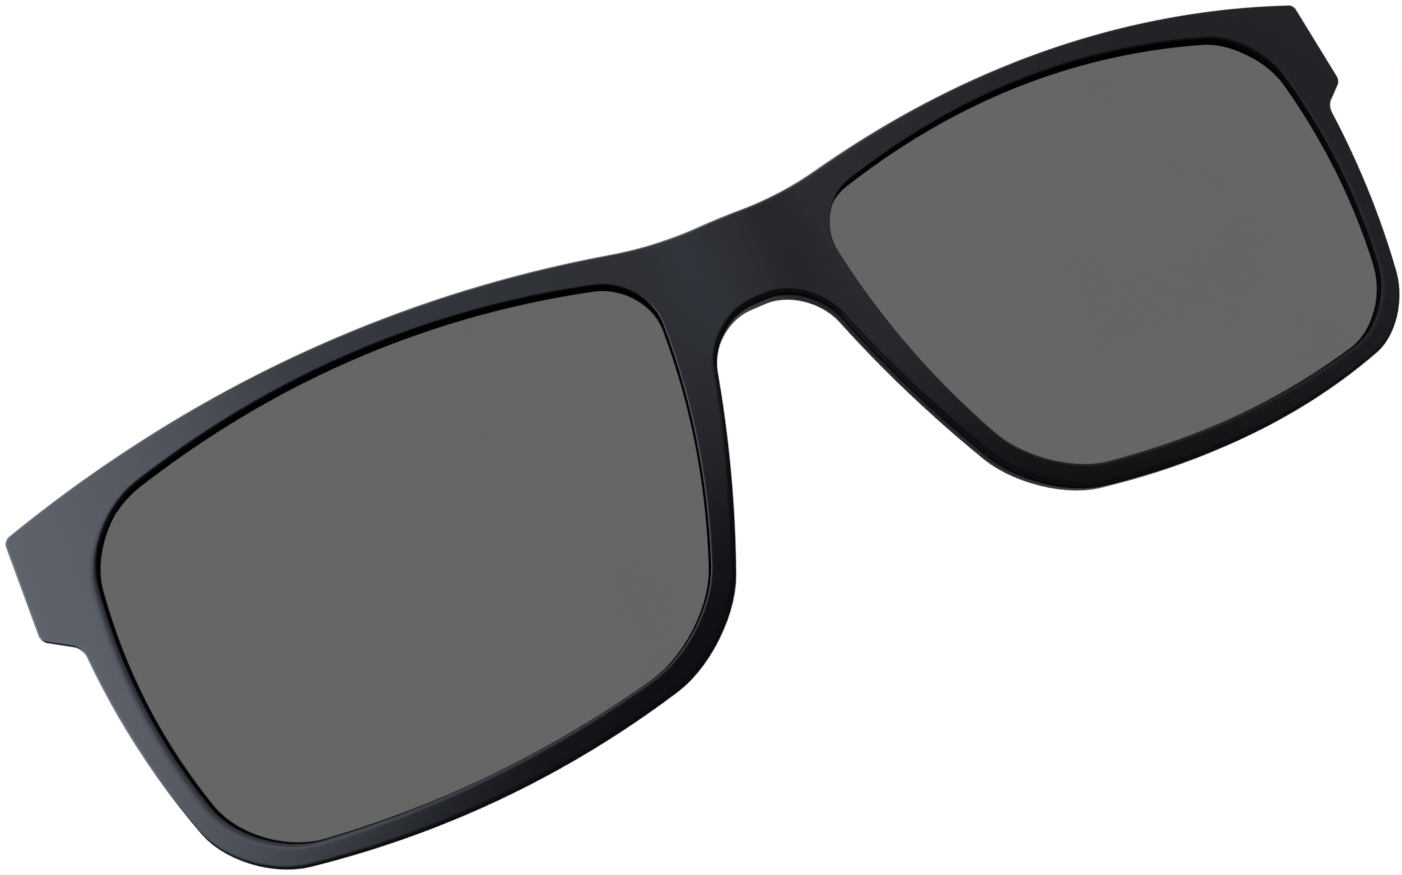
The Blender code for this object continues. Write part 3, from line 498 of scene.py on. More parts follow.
def shader_group(name, inputs, outputs):
    """Empty node group with named sockets. Returns the tree, its input node and its output node."""
    tree = bpy.data.node_groups.new(name, "ShaderNodeTree")
    kinds = {"value": "NodeSocketFloat", "vector": "NodeSocketVector"}
    for title, kind, value in inputs:
        socket = tree.interface.new_socket(title, in_out="INPUT", socket_type=kinds[kind])
        socket.default_value = value
    for title, kind in outputs:
        tree.interface.new_socket(title, in_out="OUTPUT", socket_type=kinds[kind])
    return tree, tree.nodes.new("NodeGroupInput"), tree.nodes.new("NodeGroupOutput")


def add(tree, kind, links=None, values=None, **settings):
    """Node with its settings, values and the sockets that feed it."""
    node = tree.nodes.new(kind)
    for key, value in settings.items():
        setattr(node, key, value)
    for key, value in (values or {}).items():
        node.inputs[key].default_value = value
    for key, socket in (links or {}).items():
        tree.links.new(socket, node.inputs[key])
    return node


def feed(tree, node, **sockets):
    """Link sockets to a node's inputs, whose names have underscores for blanks."""
    for key, socket in sockets.items():
        tree.links.new(socket, node.inputs[key.replace("_", " ")])


def calc(tree, operation, *terms):
    """Result of a Math node whose terms are numbers and sockets."""
    node = add(tree, "ShaderNodeMath", operation=operation)
    for place, term in zip(node.inputs, terms):
        if isinstance(term, float):
            place.default_value = term
        else:
            tree.links.new(term, place)
    return node.outputs[0]


def noise(tree, place, scale, detail):
    """Noise with as many patches in a metre as its scale."""
    node = add(tree, "ShaderNodeTexNoise", {"Vector": place}, {"Scale": scale, "Detail": detail})
    return node.outputs["Fac"]


def span(start, end=None):
    """Values of a Map Range node: the span that it takes, and the one that it gives if that is fixed."""
    values = {1: start[0], 2: start[1]}
    if end:
        values.update({3: end[0], 4: end[1]})
    return values


def moulded_grain():
    """Fine texture of a mould's face with slow changes of tone: a height, a tone and a roughness."""
    tree, given, result = shader_group(
        "moulded_grain",
        [("Grain Size", "value", 0.15 * MM), ("Tone", "value", 0.1), ("Roughness", "value", 0.4),
         ("Roughness Spread", "value", 0.05)],
        [("Height", "value"), ("Tone", "value"), ("Roughness", "value")])
    place = add(tree, "ShaderNodeTexCoord").outputs["Object"]
    scale = calc(tree, "DIVIDE", 1.0, given.outputs["Grain Size"])
    grain = add(tree, "ShaderNodeTexNoise", {"Vector": place, "Scale": scale},
                {"Detail": 2.0, "Roughness": 0.6})
    slow = noise(tree, place, TONE_PATCHES, detail=3.0)
    low = calc(tree, "MULTIPLY", given.outputs["Tone"], -1.0)
    swing = add(tree, "ShaderNodeMapRange", {0: slow, 3: low, 4: given.outputs["Tone"]},
                span(PATCH_SPAN))
    tone = calc(tree, "ADD", swing.outputs[0], 1.0)
    handled = calc(tree, "SUBTRACT", noise(tree, place, HANDLED_PATCHES, detail=4.0), 0.5)
    rough = calc(tree, "MULTIPLY_ADD", handled, given.outputs["Roughness Spread"],
                 given.outputs["Roughness"])
    feed(tree, result, Height=grain.outputs["Fac"], Tone=tone, Roughness=rough)
    return tree


def worn_edge():
    """Mask of the edges that hands and cloths have polished, broken up by noise; it also lightens them as
    a painted highlight.
    """
    tree, given, result = shader_group("worn_edge", [("Amount", "value", 0.5)], [("Mask", "value")])
    place = add(tree, "ShaderNodeTexCoord").outputs["Object"]
    edge = add(tree, "ShaderNodeAttribute", attribute_name="edge")
    patch = add(tree, "ShaderNodeMapRange", {0: noise(tree, place, WEAR_AND_HIGHLIGHT_PATCHES, detail=3.0)},
                span(PATCH_SPAN, (LEAST_WEAR_AND_HIGHLIGHT, 1.0)))
    part = calc(tree, "MULTIPLY", edge.outputs["Fac"], patch.outputs[0])
    feed(tree, result, Mask=calc(tree, "MULTIPLY", part, given.outputs["Amount"]))
    return tree


def drawn_streaks():
    """Fine lines that a die or a wheel leaves in metal: a height, a tone and a roughness."""
    tree, given, result = shader_group(
        "drawn_streaks", [("Stretch", "vector", DRAWN_LINES), ("Roughness", "value", 0.3)],
        [("Height", "value"), ("Tone", "value"), ("Roughness", "value")])
    place = add(tree, "ShaderNodeTexCoord").outputs["Object"]
    spread = add(tree, "ShaderNodeVectorMath", {0: place, 1: given.outputs["Stretch"]},
                 operation="MULTIPLY")
    lines = noise(tree, spread.outputs[0], scale=1.0, detail=2.0)
    tone = add(tree, "ShaderNodeMapRange", {0: lines}, span(LINE_SPAN, LINE_TONES))
    swing = add(tree, "ShaderNodeMapRange", {0: lines}, span(LINE_SPAN, LINE_ROUGHNESS))
    rough = calc(tree, "ADD", swing.outputs[0], given.outputs["Roughness"])
    feed(tree, result, Height=lines, Tone=tone.outputs[0], Roughness=rough)
    return tree


GRAIN = moulded_grain()
EDGE_WEAR_AND_HIGHLIGHT = worn_edge()
STREAKS = drawn_streaks()


def blank(name, **constants):
    """Material with a Principled shader and its constant values."""
    finish = bpy.data.materials.new(name)
    finish.use_nodes = True
    shader = finish.node_tree.nodes["Principled BSDF"]
    for key, value in constants.items():
        shader.inputs[key.replace("_", " ")].default_value = value
    return finish, finish.node_tree, shader


def grouped(tree, content, values):
    """Shader group placed in a material, with its own values."""
    node = tree.nodes.new("ShaderNodeGroup")
    node.node_tree = content
    for key, value in values.items():
        node.inputs[key].default_value = value
    return node


def toned(tree, colour, tone):
    """Colour times a tone that changes over the surface."""
    mix = add(tree, "ShaderNodeVectorMath", {"Scale": tone}, {0: colour}, operation="SCALE")
    return mix.outputs[0]


def worn_and_highlit_colour(tree, body, worn_highlit_edge_colour, mask):
    """Colour of the body, and a lighter one where the edges are worn and carry a painted highlight."""
    mix = add(tree, "ShaderNodeMix", {"Factor": mask, "A": body}, {"B": (*worn_highlit_edge_colour, 1.0)},
              data_type="RGBA")
    return mix.outputs["Result"]


def relief(tree, surface, strength, depth):
    """Normal that follows the height of a group."""
    bump = add(tree, "ShaderNodeBump", {"Height": surface.outputs["Height"]},
               {"Strength": strength, "Distance": depth})
    return bump.outputs[0]


def moulding(name, colour, worn_highlit_edge_colour, grain, roughness, bump, wear_and_highlight, spread=0.05, **constants):
    """Moulded plastic or rubber with a fine grain, and polished edges lightened as wear and as a painted
    highlight.
    """
    finish, tree, shader = blank(name, **constants)
    surface = grouped(tree, GRAIN, {"Grain Size": grain, "Roughness": roughness,
                                    "Roughness Spread": spread})
    mask = grouped(tree, EDGE_WEAR_AND_HIGHLIGHT, {"Amount": wear_and_highlight}).outputs["Mask"]
    body = toned(tree, colour, surface.outputs["Tone"])
    feed(tree, shader, Base_Color=worn_and_highlit_colour(tree, body, worn_highlit_edge_colour, mask),
         Roughness=calc(tree, "MULTIPLY_ADD", mask, WEAR_POLISH, surface.outputs["Roughness"]),
         Normal=relief(tree, surface, bump, GRAIN_DEPTH * grain))
    return finish


def metal(name, colour, stretch, roughness, wear_and_highlight):
    """Drawn or turned metal with fine lines, and edges brightened as wear and as a painted highlight."""
    finish, tree, shader = blank(name, Metallic=1.0)
    lines = grouped(tree, STREAKS, {"Stretch": stretch, "Roughness": roughness})
    mask = grouped(tree, EDGE_WEAR_AND_HIGHLIGHT, {"Amount": wear_and_highlight}).outputs["Mask"]
    body = toned(tree, colour, lines.outputs["Tone"])
    bright = [min(1.0, WEAR_AND_HIGHLIGHT_BRIGHTENS * part) for part in colour]
    feed(tree, shader, Base_Color=worn_and_highlit_colour(tree, body, bright, mask),
         Roughness=lines.outputs["Roughness"], Normal=relief(tree, lines, LINE_BUMP, LINE_DEPTH))
    return finish


def tinted_lens():
    """Grey tint through the whole lens, with the faintest haze of handling."""
    finish, tree, shader = blank("grey_lens", Transmission_Weight=1.0, IOR=1.05)
    surface = grouped(tree, GRAIN, {"Grain Size": 3.0 * MM, "Tone": 0.012, "Roughness": 0.015,
                                    "Roughness Spread": 0.02})
    feed(tree, shader, Base_Color=toned(tree, LENS_TINT, surface.outputs["Tone"]),
         Roughness=surface.outputs["Roughness"])
    return finish


def clear_vinyl():
    """Soft clear vinyl of the hooks' caps and tube."""
    finish, tree, shader = blank("clear_vinyl", Transmission_Weight=0.65, IOR=1.5)
    surface = grouped(tree, GRAIN, {"Grain Size": 0.2 * MM, "Tone": 0.05, "Roughness": 0.3})
    feed(tree, shader, Base_Color=toned(tree, VINYL_TINT, surface.outputs["Tone"]),
         Roughness=surface.outputs["Roughness"], Normal=relief(tree, surface, VINYL_BUMP, VINYL_DEPTH))
    return finish


# The second colour of a moulding is its edges', lighter as wear and as a painted highlight
CHARCOAL = moulding("charcoal_plastic", (0.0024, 0.0025, 0.0029), (0.005, 0.005, 0.0055),
                    grain=0.12 * MM, roughness=0.2, bump=0.05, wear_and_highlight=0.4, spread=0.02)
# A copy of the plastic that reflects nothing (IOR 1.0): matte like an unpolished groove, and painted
# shade that keeps the recessed walls of the lens openings black
MATTE_SHADED_WALL = moulding("matte_wall", (0.003, 0.003, 0.0033), (0.003, 0.003, 0.003),
                      grain=0.2 * MM, roughness=0.8, bump=0.2, wear_and_highlight=0.0, IOR=1.0)
# A copy of the plastic that reflects little (IOR 1.07): painted shade on the walls that look down
SHADED_UNDERSIDE = moulding("satin_underside", (0.003, 0.003, 0.0033), (0.003, 0.003, 0.003),
                     grain=0.2 * MM, roughness=0.4, bump=0.1, wear_and_highlight=0.0, IOR=1.07)
CASE = moulding("black_case", (0.018, 0.018, 0.02), (0.035, 0.035, 0.037),
                grain=0.1 * MM, roughness=0.45, bump=0.25, wear_and_highlight=0.6)
SILICONE = moulding("grey_silicone", (0.095, 0.096, 0.1), (0.12, 0.12, 0.125),
                    grain=0.08 * MM, roughness=0.62, bump=0.2, wear_and_highlight=0.3)
STEEL = metal("spring_steel", (0.56, 0.57, 0.59), DRAWN_LINES, roughness=0.28, wear_and_highlight=0.6)
SCREW_STEEL = metal("screw_steel", (0.5, 0.5, 0.52), TURNED_LINES, roughness=0.3, wear_and_highlight=0.6)
BRONZE = metal("bronze_washer", (0.52, 0.34, 0.17), PRESSED_LINES, roughness=0.32, wear_and_highlight=0.4)
LENS = tinted_lens()
VINYL = clear_vinyl()


# The front and its lenses

def edge_rings(mesh, points, pair, outwards, face, inwards, flare=0.0):
    """Rings of a round edge, from a border of the flat face to the wall that goes inwards from it."""
    wear_highlight_mark = mesh.verts.layers.float["edge"]
    sizes = [pair[0] + (pair[1] - pair[0]) * temple_share(p) for p in points]
    border = grown(points, *[outwards * (size + FLAT_BORDER) for size in sizes])
    rings = [ring(mesh, flared(border, flare), face)]
    for i in range(EDGE_STEPS + 1):
        turn = math.pi / 2 * i / EDGE_STEPS
        share = 1 - math.sin(turn)
        outline = flared(grown(points, *[outwards * size * share for size in sizes]), flare * share)
        rings.append(ring(mesh, outline, face))
        for vert, size in zip(rings[-1], sizes):
            vert.co.y += inwards * size * (1 - math.cos(turn))
            # The mark peaks half-way round the edge, where it lightens the edge as wear and as a painted
            # highlight
            vert[wear_highlight_mark] = math.sin(2 * turn)
    return rings


def outer_wall(mesh):
    """The wall round the front with its round edges, darker as painted shade where it looks down. Returns
    the loops of the two faces.
    """
    front = edge_rings(mesh, FRONT_EDGE, EDGE_ROUND, -1, 0.0, 1)
    back = edge_rings(mesh, FRONT_EDGE, EDGE_ROUND, -1, FRONT_THICKNESS, -1)
    loft(mesh, front[:STEEP_RING + 1])
    for i, face in enumerate(loft(mesh, front[STEEP_RING:] + back[:STEEP_RING - 1:-1])):
        place = i % len(FRONT_EDGE)
        run = FRONT_EDGE[(place + 1) % len(FRONT_EDGE)] - FRONT_EDGE[place]
        # Walls that look down, but at the temple, take the copy that reflects little: painted shade
        downwards = run.x < UNDERSIDE_SLOPE * run.length
        if downwards and temple_share(FRONT_EDGE[place]) < 1:
            face.material_index = SHADED_UNDERSIDE_SLOT
    loft(mesh, back[STEEP_RING::-1])
    return front[0], back[0]


def lens_opening(mesh, points):
    """The wall of a lens opening with its groove. Returns the loops of the two faces."""
    groove_start = LENS_RECESS - GROOVE_CLEARANCE
    groove_end = LENS_RECESS + LENS_THICKNESS + GROOVE_CLEARANCE
    groove = grown(points, GROOVE_DEPTH)
    behind = flared(points, BACK_LIP_SETBACK)
    front = edge_rings(mesh, points, LIP_ROUND, 1, 0.0, 1, TEMPLE_LIP)
    back = edge_rings(mesh, behind, LIP_ROUND, 1, FRONT_THICKNESS, -1)
    step = [ring(mesh, points, groove_start), ring(mesh, groove, groove_start),
            ring(mesh, groove, groove_end), ring(mesh, behind, groove_end)]
    loft(mesh, front[:STEEP_RING + 1])
    # The lip past its middle, the groove and the wall take the copy that reflects nothing: painted shade
    # that keeps them black
    loft(mesh, front[STEEP_RING:] + step + back[:0:-1], slot=SHADED_WALL_SLOT)
    loft(mesh, back[1::-1])
    return front[0], back[0]


def screw_hole(mesh, x):
    """Blind hole in the back for a screw of the leaf. Returns its mouth."""
    outline = circle(Vector((x, LEAF_SCREW.y)), LEAF_SCREW_BORE)
    mouth = ring(mesh, outline, FRONT_THICKNESS)
    end = ring(mesh, outline, FRONT_THICKNESS - LEAF_SCREW_HOLE)
    loft(mesh, [mouth, end])
    mesh.faces.new(end)
    return mouth


def moulded_front():
    """The front in one moulding: bridge, rims and end lugs."""
    mesh = bmesh.new()
    mesh.verts.layers.float.new("edge")
    walls = [outer_wall(mesh)]
    for points in (LENS_EDGE, mirrored(LENS_EDGE)):
        walls.append(lens_opening(mesh, points))
    holes = [screw_hole(mesh, x) for x in (-LEAF_SCREW.x, LEAF_SCREW.x)]
    fill(mesh, [front for front, _ in walls])
    fill(mesh, [back for _, back in walls] + holes)
    wrap(mesh)
    finished("front_moulding", mesh, "front", ["front_frame"], "charcoal_plastic", CHARCOAL, MATTE_SHADED_WALL,
             SHADED_UNDERSIDE)


def tinted(name, points, node):
    """Lens whose edge lies in the groove of the rim."""
    mesh = bmesh.new()
    reach = GROOVE_DEPTH - GROOVE_CLEARANCE
    back = LENS_RECESS + LENS_THICKNESS
    edge = grown(points, reach)
    face = grown(points, reach - LENS_EDGE_CHAMFER)
    rings = [ring(mesh, face, LENS_RECESS), ring(mesh, edge, LENS_RECESS + LENS_EDGE_CHAMFER),
             ring(mesh, edge, back - LENS_EDGE_CHAMFER), ring(mesh, face, back)]
    loft(mesh, rings)
    fill(mesh, [rings[0]])
    fill(mesh, [rings[-1]])
    wrap(mesh)
    finished(name, mesh, "front", [node], "grey_lens", LENS)


# Geometry node trees

def geometry_tree(name, inputs):
    """Empty tree that takes and gives geometry, with named inputs."""
    tree = bpy.data.node_groups.new(name, "GeometryNodeTree")
    tree.interface.new_socket("Geometry", in_out="INPUT", socket_type="NodeSocketGeometry")
    tree.interface.new_socket("Geometry", in_out="OUTPUT", socket_type="NodeSocketGeometry")
    for title, kind in inputs:
        tree.interface.new_socket(title, in_out="INPUT", socket_type=kind)
    return tree, tree.nodes.new("NodeGroupInput"), tree.nodes.new("NodeGroupOutput")


def close_tree(tree, given, result, geometry):
    """The end of every tree: plain geometry with its finish."""
    whole = add(tree, "GeometryNodeRealizeInstances", {"Geometry": geometry})
    coated = add(tree, "GeometryNodeSetMaterial", {"Geometry": whole.outputs[0],
                                                   "Material": given.outputs["Finish"]})
    tree.links.new(coated.outputs[0], result.inputs["Geometry"])
    return tree


def bent_wire():
    """Round wire along the curve that it is given."""
    tree, given, result = geometry_tree("bent_wire", [
        ("Wire Radius", "NodeSocketFloat"), ("Sides", "NodeSocketInt"),
        ("Finish", "NodeSocketMaterial")])
    section = add(tree, "GeometryNodeCurvePrimitiveCircle", {"Resolution": given.outputs["Sides"],
                                                             "Radius": given.outputs["Wire Radius"]})
    solid = add(tree, "GeometryNodeCurveToMesh", {"Curve": given.outputs["Geometry"],
                                                  "Profile Curve": section.outputs["Curve"]},
                {"Fill Caps": True})
    return close_tree(tree, given, result, solid.outputs[0])


def coil_spring():
    """Compression spring between two heights, whose end turns lie flat."""
    tree, given, result = geometry_tree("coil_spring", [
        ("Turns", "NodeSocketFloat"), ("Coil Radius", "NodeSocketFloat"), ("Foot", "NodeSocketFloat"),
        ("Top", "NodeSocketFloat"), ("Wire Radius", "NodeSocketFloat"), ("Place", "NodeSocketVector"),
        ("Finish", "NodeSocketMaterial")])
    line = add(tree, "GeometryNodeCurveSpiral", {"Rotations": given.outputs["Turns"],
                                                 "Start Radius": given.outputs["Coil Radius"],
                                                 "End Radius": given.outputs["Coil Radius"]},
               {"Resolution": COIL_STEPS, "Height": 0.0})
    along = add(tree, "GeometryNodeSplineParameter")
    height = add(tree, "ShaderNodeMapRange", {0: along.outputs["Factor"], 3: given.outputs["Foot"],
                                              4: given.outputs["Top"]}, interpolation_type="SMOOTHSTEP")
    rise = add(tree, "ShaderNodeCombineXYZ", {"Z": height.outputs[0]})
    shift = add(tree, "ShaderNodeVectorMath", {0: rise.outputs[0], 1: given.outputs["Place"]},
                operation="ADD")
    raised = add(tree, "GeometryNodeSetPosition", {"Geometry": line.outputs[0],
                                                   "Offset": shift.outputs[0]})
    section = add(tree, "GeometryNodeCurvePrimitiveCircle", {"Radius": given.outputs["Wire Radius"]},
                  {"Resolution": SPRING_SIDES})
    solid = add(tree, "GeometryNodeCurveToMesh", {"Curve": raised.outputs[0],
                                                  "Profile Curve": section.outputs["Curve"]},
                {"Fill Caps": True})
    return close_tree(tree, given, result, solid.outputs[0])


def seated_screws():
    """One screw set in every seat, each turned by its own amount."""
    tree, given, result = geometry_tree("seated_screws", [
        ("Screw", "NodeSocketObject"), ("Seed", "NodeSocketInt"), ("Finish", "NodeSocketMaterial")])
    screw = add(tree, "GeometryNodeObjectInfo", {"Object": given.outputs["Screw"]})
    turn = add(tree, "FunctionNodeRandomValue", {"Seed": given.outputs["Seed"]},
               data_type="FLOAT_VECTOR")
    turn.inputs["Min"].default_value = (0.0, -SCREW_TURN, 0.0)
    turn.inputs["Max"].default_value = (0.0, SCREW_TURN, 0.0)
    placed = add(tree, "GeometryNodeInstanceOnPoints", {"Points": given.outputs["Geometry"],
                                                        "Instance": screw.outputs["Geometry"],
                                                        "Rotation": turn.outputs[0]})
    return close_tree(tree, given, result, placed.outputs[0])


def made_by(tree, base, values):
    """Plain mesh that a tree makes from a base object, which is then removed."""
    maker = base.modifiers.new("maker", "NODES")
    maker.node_group = tree
    for item in tree.interface.items_tree:
        if item.in_out == "INPUT" and item.name in values:
            maker[item.identifier] = values[item.name]
    data = evaluated_mesh(base)
    bpy.data.objects.remove(base)
    return data


def path_object(points):
    """Curve object along points in the frame."""
    curve = bpy.data.curves.new("path", "CURVE")
    curve.dimensions = "3D"
    spline = curve.splines.new("POLY")
    spline.points.add(len(points) - 1)
    for place, point in zip(spline.points, points):
        place.co = (*point, 1.0)
    return linked("path", curve)


def points_object(points):
    """Mesh object that has only points."""
    data = bpy.data.meshes.new("points")
    data.from_pydata(points, [], [])
    return linked("points", data)


BENT_WIRE = bent_wire()
COIL_SPRING = coil_spring()
SEATED_SCREWS = seated_screws()


# The clip

def bend(corner, before, after, radius):
    """Points of a round bend at a corner, between the directions before and after it."""
    centre = corner - before * radius + after * radius
    turns = [math.pi / 2 * i / BEND_STEPS for i in range(BEND_STEPS + 1)]
    return [centre - after * radius * math.cos(a) + before * radius * math.sin(a) for a in turns]


def wire_piece(name, path, node, body):
    """Wire bent along a path."""
    values = {"Wire Radius": WIRE_RADIUS, "Sides": WIRE_SIDES, "Finish": STEEL}
    data = made_by(BENT_WIRE, path_object(path), values)
    return dressed(name, data, body, [node], "spring_steel", STEEL)


def hooks():
    """The two upper hooks with their caps."""
    back, up = Vector((0, 1, 0)), Vector((0, 0, 1))
    for side in WEARER_SIDES:
        low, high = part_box(f"upper_hook_{side}")
        x = (low.x + high.x) / 2
        cover_low, cover_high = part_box("slide_cover")
        start_y = (cover_low.y + cover_high.y) / 2
        sleeve_low, sleeve_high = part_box(f"upper_sleeve_{side}")
        back_y = (sleeve_low.y + sleeve_high.y) / 2
        top = high.z - WIRE_RADIUS
        path = [Vector((x, start_y, low.z))]
        path += bend(Vector((x, start_y, top)), up, back, HOOK_BEND)
        path += bend(Vector((x, back_y, top)), back, -up, HOOK_BEND)
        path.append(Vector((x, back_y, sleeve_low.z + WIRE_END_RISE)))
        wire_piece(f"upper_wire_{side}", path, f"upper_hook_{side}", "clip")
        soft_cap(side, Vector((x, back_y, 0.0)), sleeve_low, sleeve_high)


def soft_cap(side, axis, low, high):
    """Closed vinyl cap on the end of an upper hook."""
    radius = (high.x - low.x) / 2
    mesh = bmesh.new()
    dome = [(across, low.z + radius + along) for across, along in arc(radius, -90, 0, CAP_STEPS)]
    lip = [(radius - SLEEVE_ROUND + across, high.z - SLEEVE_ROUND + along)
           for across, along in arc(SLEEVE_ROUND, 0, 90, LIP_STEPS)]
    inner = [(SLEEVE_BORE + SLEEVE_ROUND - across, high.z - SLEEVE_ROUND + along)
             for across, along in arc(SLEEVE_ROUND, 90, 0, LIP_STEPS)]
    profile = [(0.0, low.z)] + dome[1:] + lip + inner
    profile += [(SLEEVE_BORE, low.z + radius), (0.0, low.z + radius)]
    lathe(mesh, profile, axis, (0, 0, 1))
    finished(f"upper_cap_{side}", mesh, "clip", [f"upper_sleeve_{side}"], "clear_vinyl", VINYL)


def lower_loop():
    """The lower hook, a wire loop on two legs, with its tube."""
    low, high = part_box("lower_hook")
    sleeve_low, sleeve_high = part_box("lower_sleeve")
    back, up = Vector((0, 1, 0)), Vector((0, 0, 1))
    foot = low.z + WIRE_RADIUS
    back_y = (sleeve_low.y + sleeve_high.y) / 2
    shoulder = high.z - WIRE_RADIUS - LOOP_RADIUS
    leg = [Vector((-LOOP_RADIUS, low.y, foot))]
    leg += bend(Vector((-LOOP_RADIUS, back_y, foot)), back, up, HOOK_BEND)
    turns = [math.pi * (1 - i / LOOP_STEPS) for i in range(LOOP_STEPS + 1)]
    loop = [Vector((LOOP_RADIUS * math.cos(a), back_y, shoulder + LOOP_RADIUS * math.sin(a)))
            for a in turns]
    other_leg = [Vector((-p.x, p.y, p.z)) for p in reversed(leg)]
    wire_piece("lower_wire", leg + loop + other_leg, "lower_hook", "jaw")
    tube(loop, (sleeve_high.y - sleeve_low.y) / 2)


def tube(path, radius):
    """Vinyl tube on the lower loop, with eased ends."""
    mesh = bmesh.new()
    outer, inner = [], []
    for i, place in enumerate(path):
        ahead = (path[min(i + 1, len(path) - 1)] - path[max(i - 1, 0)]).normalized()
        across = Vector((0, 1, 0))
        other = ahead.cross(across)
        turns = [2 * math.pi * k / WIRE_SIDES for k in range(WIRE_SIDES)]
        spokes = [across * math.cos(a) + other * math.sin(a) for a in turns]
        ease = SLEEVE_ROUND if i in (0, len(path) - 1) else 0.0
        outer.append([mesh.verts.new(place + spoke * (radius - ease)) for spoke in spokes])
        inner.append([mesh.verts.new(place + spoke * SLEEVE_BORE) for spoke in spokes])
    loft(mesh, outer)
    loft(mesh, inner)
    loft(mesh, [outer[0], inner[0]])
    loft(mesh, [outer[-1], inner[-1]])
    finished("lower_tube", mesh, "jaw", ["lower_sleeve"], "clear_vinyl", VINYL, sharp=TUBE_SHARP_ANGLE)


def springs():
    """The two springs of the jaw, at one length; the real ones shorten as it opens."""
    for side in WEARER_SIDES:
        low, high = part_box(f"jaw_spring_{side}")
        middle = (low + high) / 2
        radius = (high.y - low.y) / 2 - SPRING_WIRE
        values = {"Turns": float(SPRING_TURNS), "Coil Radius": radius, "Wire Radius": SPRING_WIRE,
                  "Foot": low.z + SPRING_WIRE, "Top": high.z - SPRING_WIRE,
                  "Place": (middle.x, middle.y, 0.0), "Finish": STEEL}
        data = made_by(COIL_SPRING, points_object([(0, 0, 0)]), values)
        piece = dressed(f"jaw_coil_{side}", data, "clip", [f"jaw_spring_{side}"], "spring_steel",
                        STEEL)
        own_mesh(piece)


def slotted_screw(length):
    """Countersunk screw that points along -Y from the middle of its head, with a slot."""
    head = SCREW_HEAD_RADIUS
    mesh = bmesh.new()
    profile = [(0.0, 0.0), (head - SCREW_HEAD_EASE, 0.0), (head, -SCREW_HEAD_EASE),
               (head, -SCREW_HEAD_EDGE), (SCREW_RADIUS, -SCREW_HEAD_DEPTH),
               (SCREW_RADIUS, -length + SCREW_TIP), (SCREW_RADIUS - SCREW_TIP, -length), (0.0, -length)]
    lathe(mesh, profile, (0, 0, 0), (0, 1, 0))
    bmesh.ops.recalc_face_normals(mesh, faces=mesh.faces[:])
    screw = linked("screw", mesh_data("screw", mesh))
    # The bar that cuts the slot reaches past the head, and lies half in it
    bar_mesh = bmesh.new()
    size = Matrix.Diagonal((4 * head, 2 * SCREW_SLOT_DEPTH, SCREW_SLOT_WIDTH, 1.0))
    bmesh.ops.create_cube(bar_mesh, size=1.0, matrix=size)
    bar = linked("slot", mesh_data("slot", bar_mesh))
    cut = screw.modifiers.new("slot", "BOOLEAN")
    cut.object = bar
    cut.solver = "EXACT"
    slotted = evaluated_mesh(screw)
    screw.modifiers.clear()
    screw.data = slotted
    bpy.data.objects.remove(bar)
    return screw


def screws():
    """The two screws of the leaf, and the two of the cover."""
    for name, prefix, body, seed in (("leaf_screws", "leaf_screw", "front", LEAF_SCREW_SEED),
                                     ("cover_screws", "cover_screw", "clip", COVER_SCREW_SEED)):
        nodes = [f"{prefix}_{side}" for side in WEARER_SIDES]
        seats = []
        for node in nodes:
            low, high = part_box(node)
            seats.append(((low.x + high.x) / 2, high.y, (low.z + high.z) / 2))
        screw = slotted_screw(high.y - low.y)
        data = made_by(SEATED_SCREWS, points_object(seats),
                       {"Screw": screw, "Seed": seed, "Finish": SCREW_STEEL})
        bpy.data.objects.remove(screw)
        dressed(name, data, body, nodes, "screw_steel", SCREW_STEEL)


def hinge_parts():
    """Pin with a domed head, and the collar on its other end."""
    low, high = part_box("hinge_pin")
    collar_low, collar_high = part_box("hinge_pin_collar")
    head = (high.z - low.z) / 2
    pin = PIN_RADIUS
    shoulder = -collar_high.x
    axis = Vector((0.0, HINGE.y, HINGE.z))
    mesh = bmesh.new()
    dome = [(across, high.x - PIN_DOME + PIN_DOME * along / head)
            for across, along in arc(head, 0, 90, PIN_DOME_STEPS)]
    profile = [(0.0, low.x), (pin - PIN_EASE, low.x), (pin, low.x + PIN_EASE), (pin, shoulder),
               (head, shoulder)]
    lathe(mesh, profile + dome[:-1] + [(0.0, high.x)], axis, (1, 0, 0))
    finished("flip_pin", mesh, "front", ["hinge_pin"], "spring_steel", STEEL)
    mesh = bmesh.new()
    bore = pin + PIN_FIT
    profile = [(bore, collar_low.x), (head - PIN_EASE, collar_low.x), (head, collar_low.x + PIN_EASE),
               (head, collar_high.x - PIN_EASE), (head - PIN_EASE, collar_high.x),
               (bore, collar_high.x)]
    lathe(mesh, profile, axis, (1, 0, 0))
    finished("pin_collar", mesh, "front", ["hinge_pin_collar"], "spring_steel", STEEL)


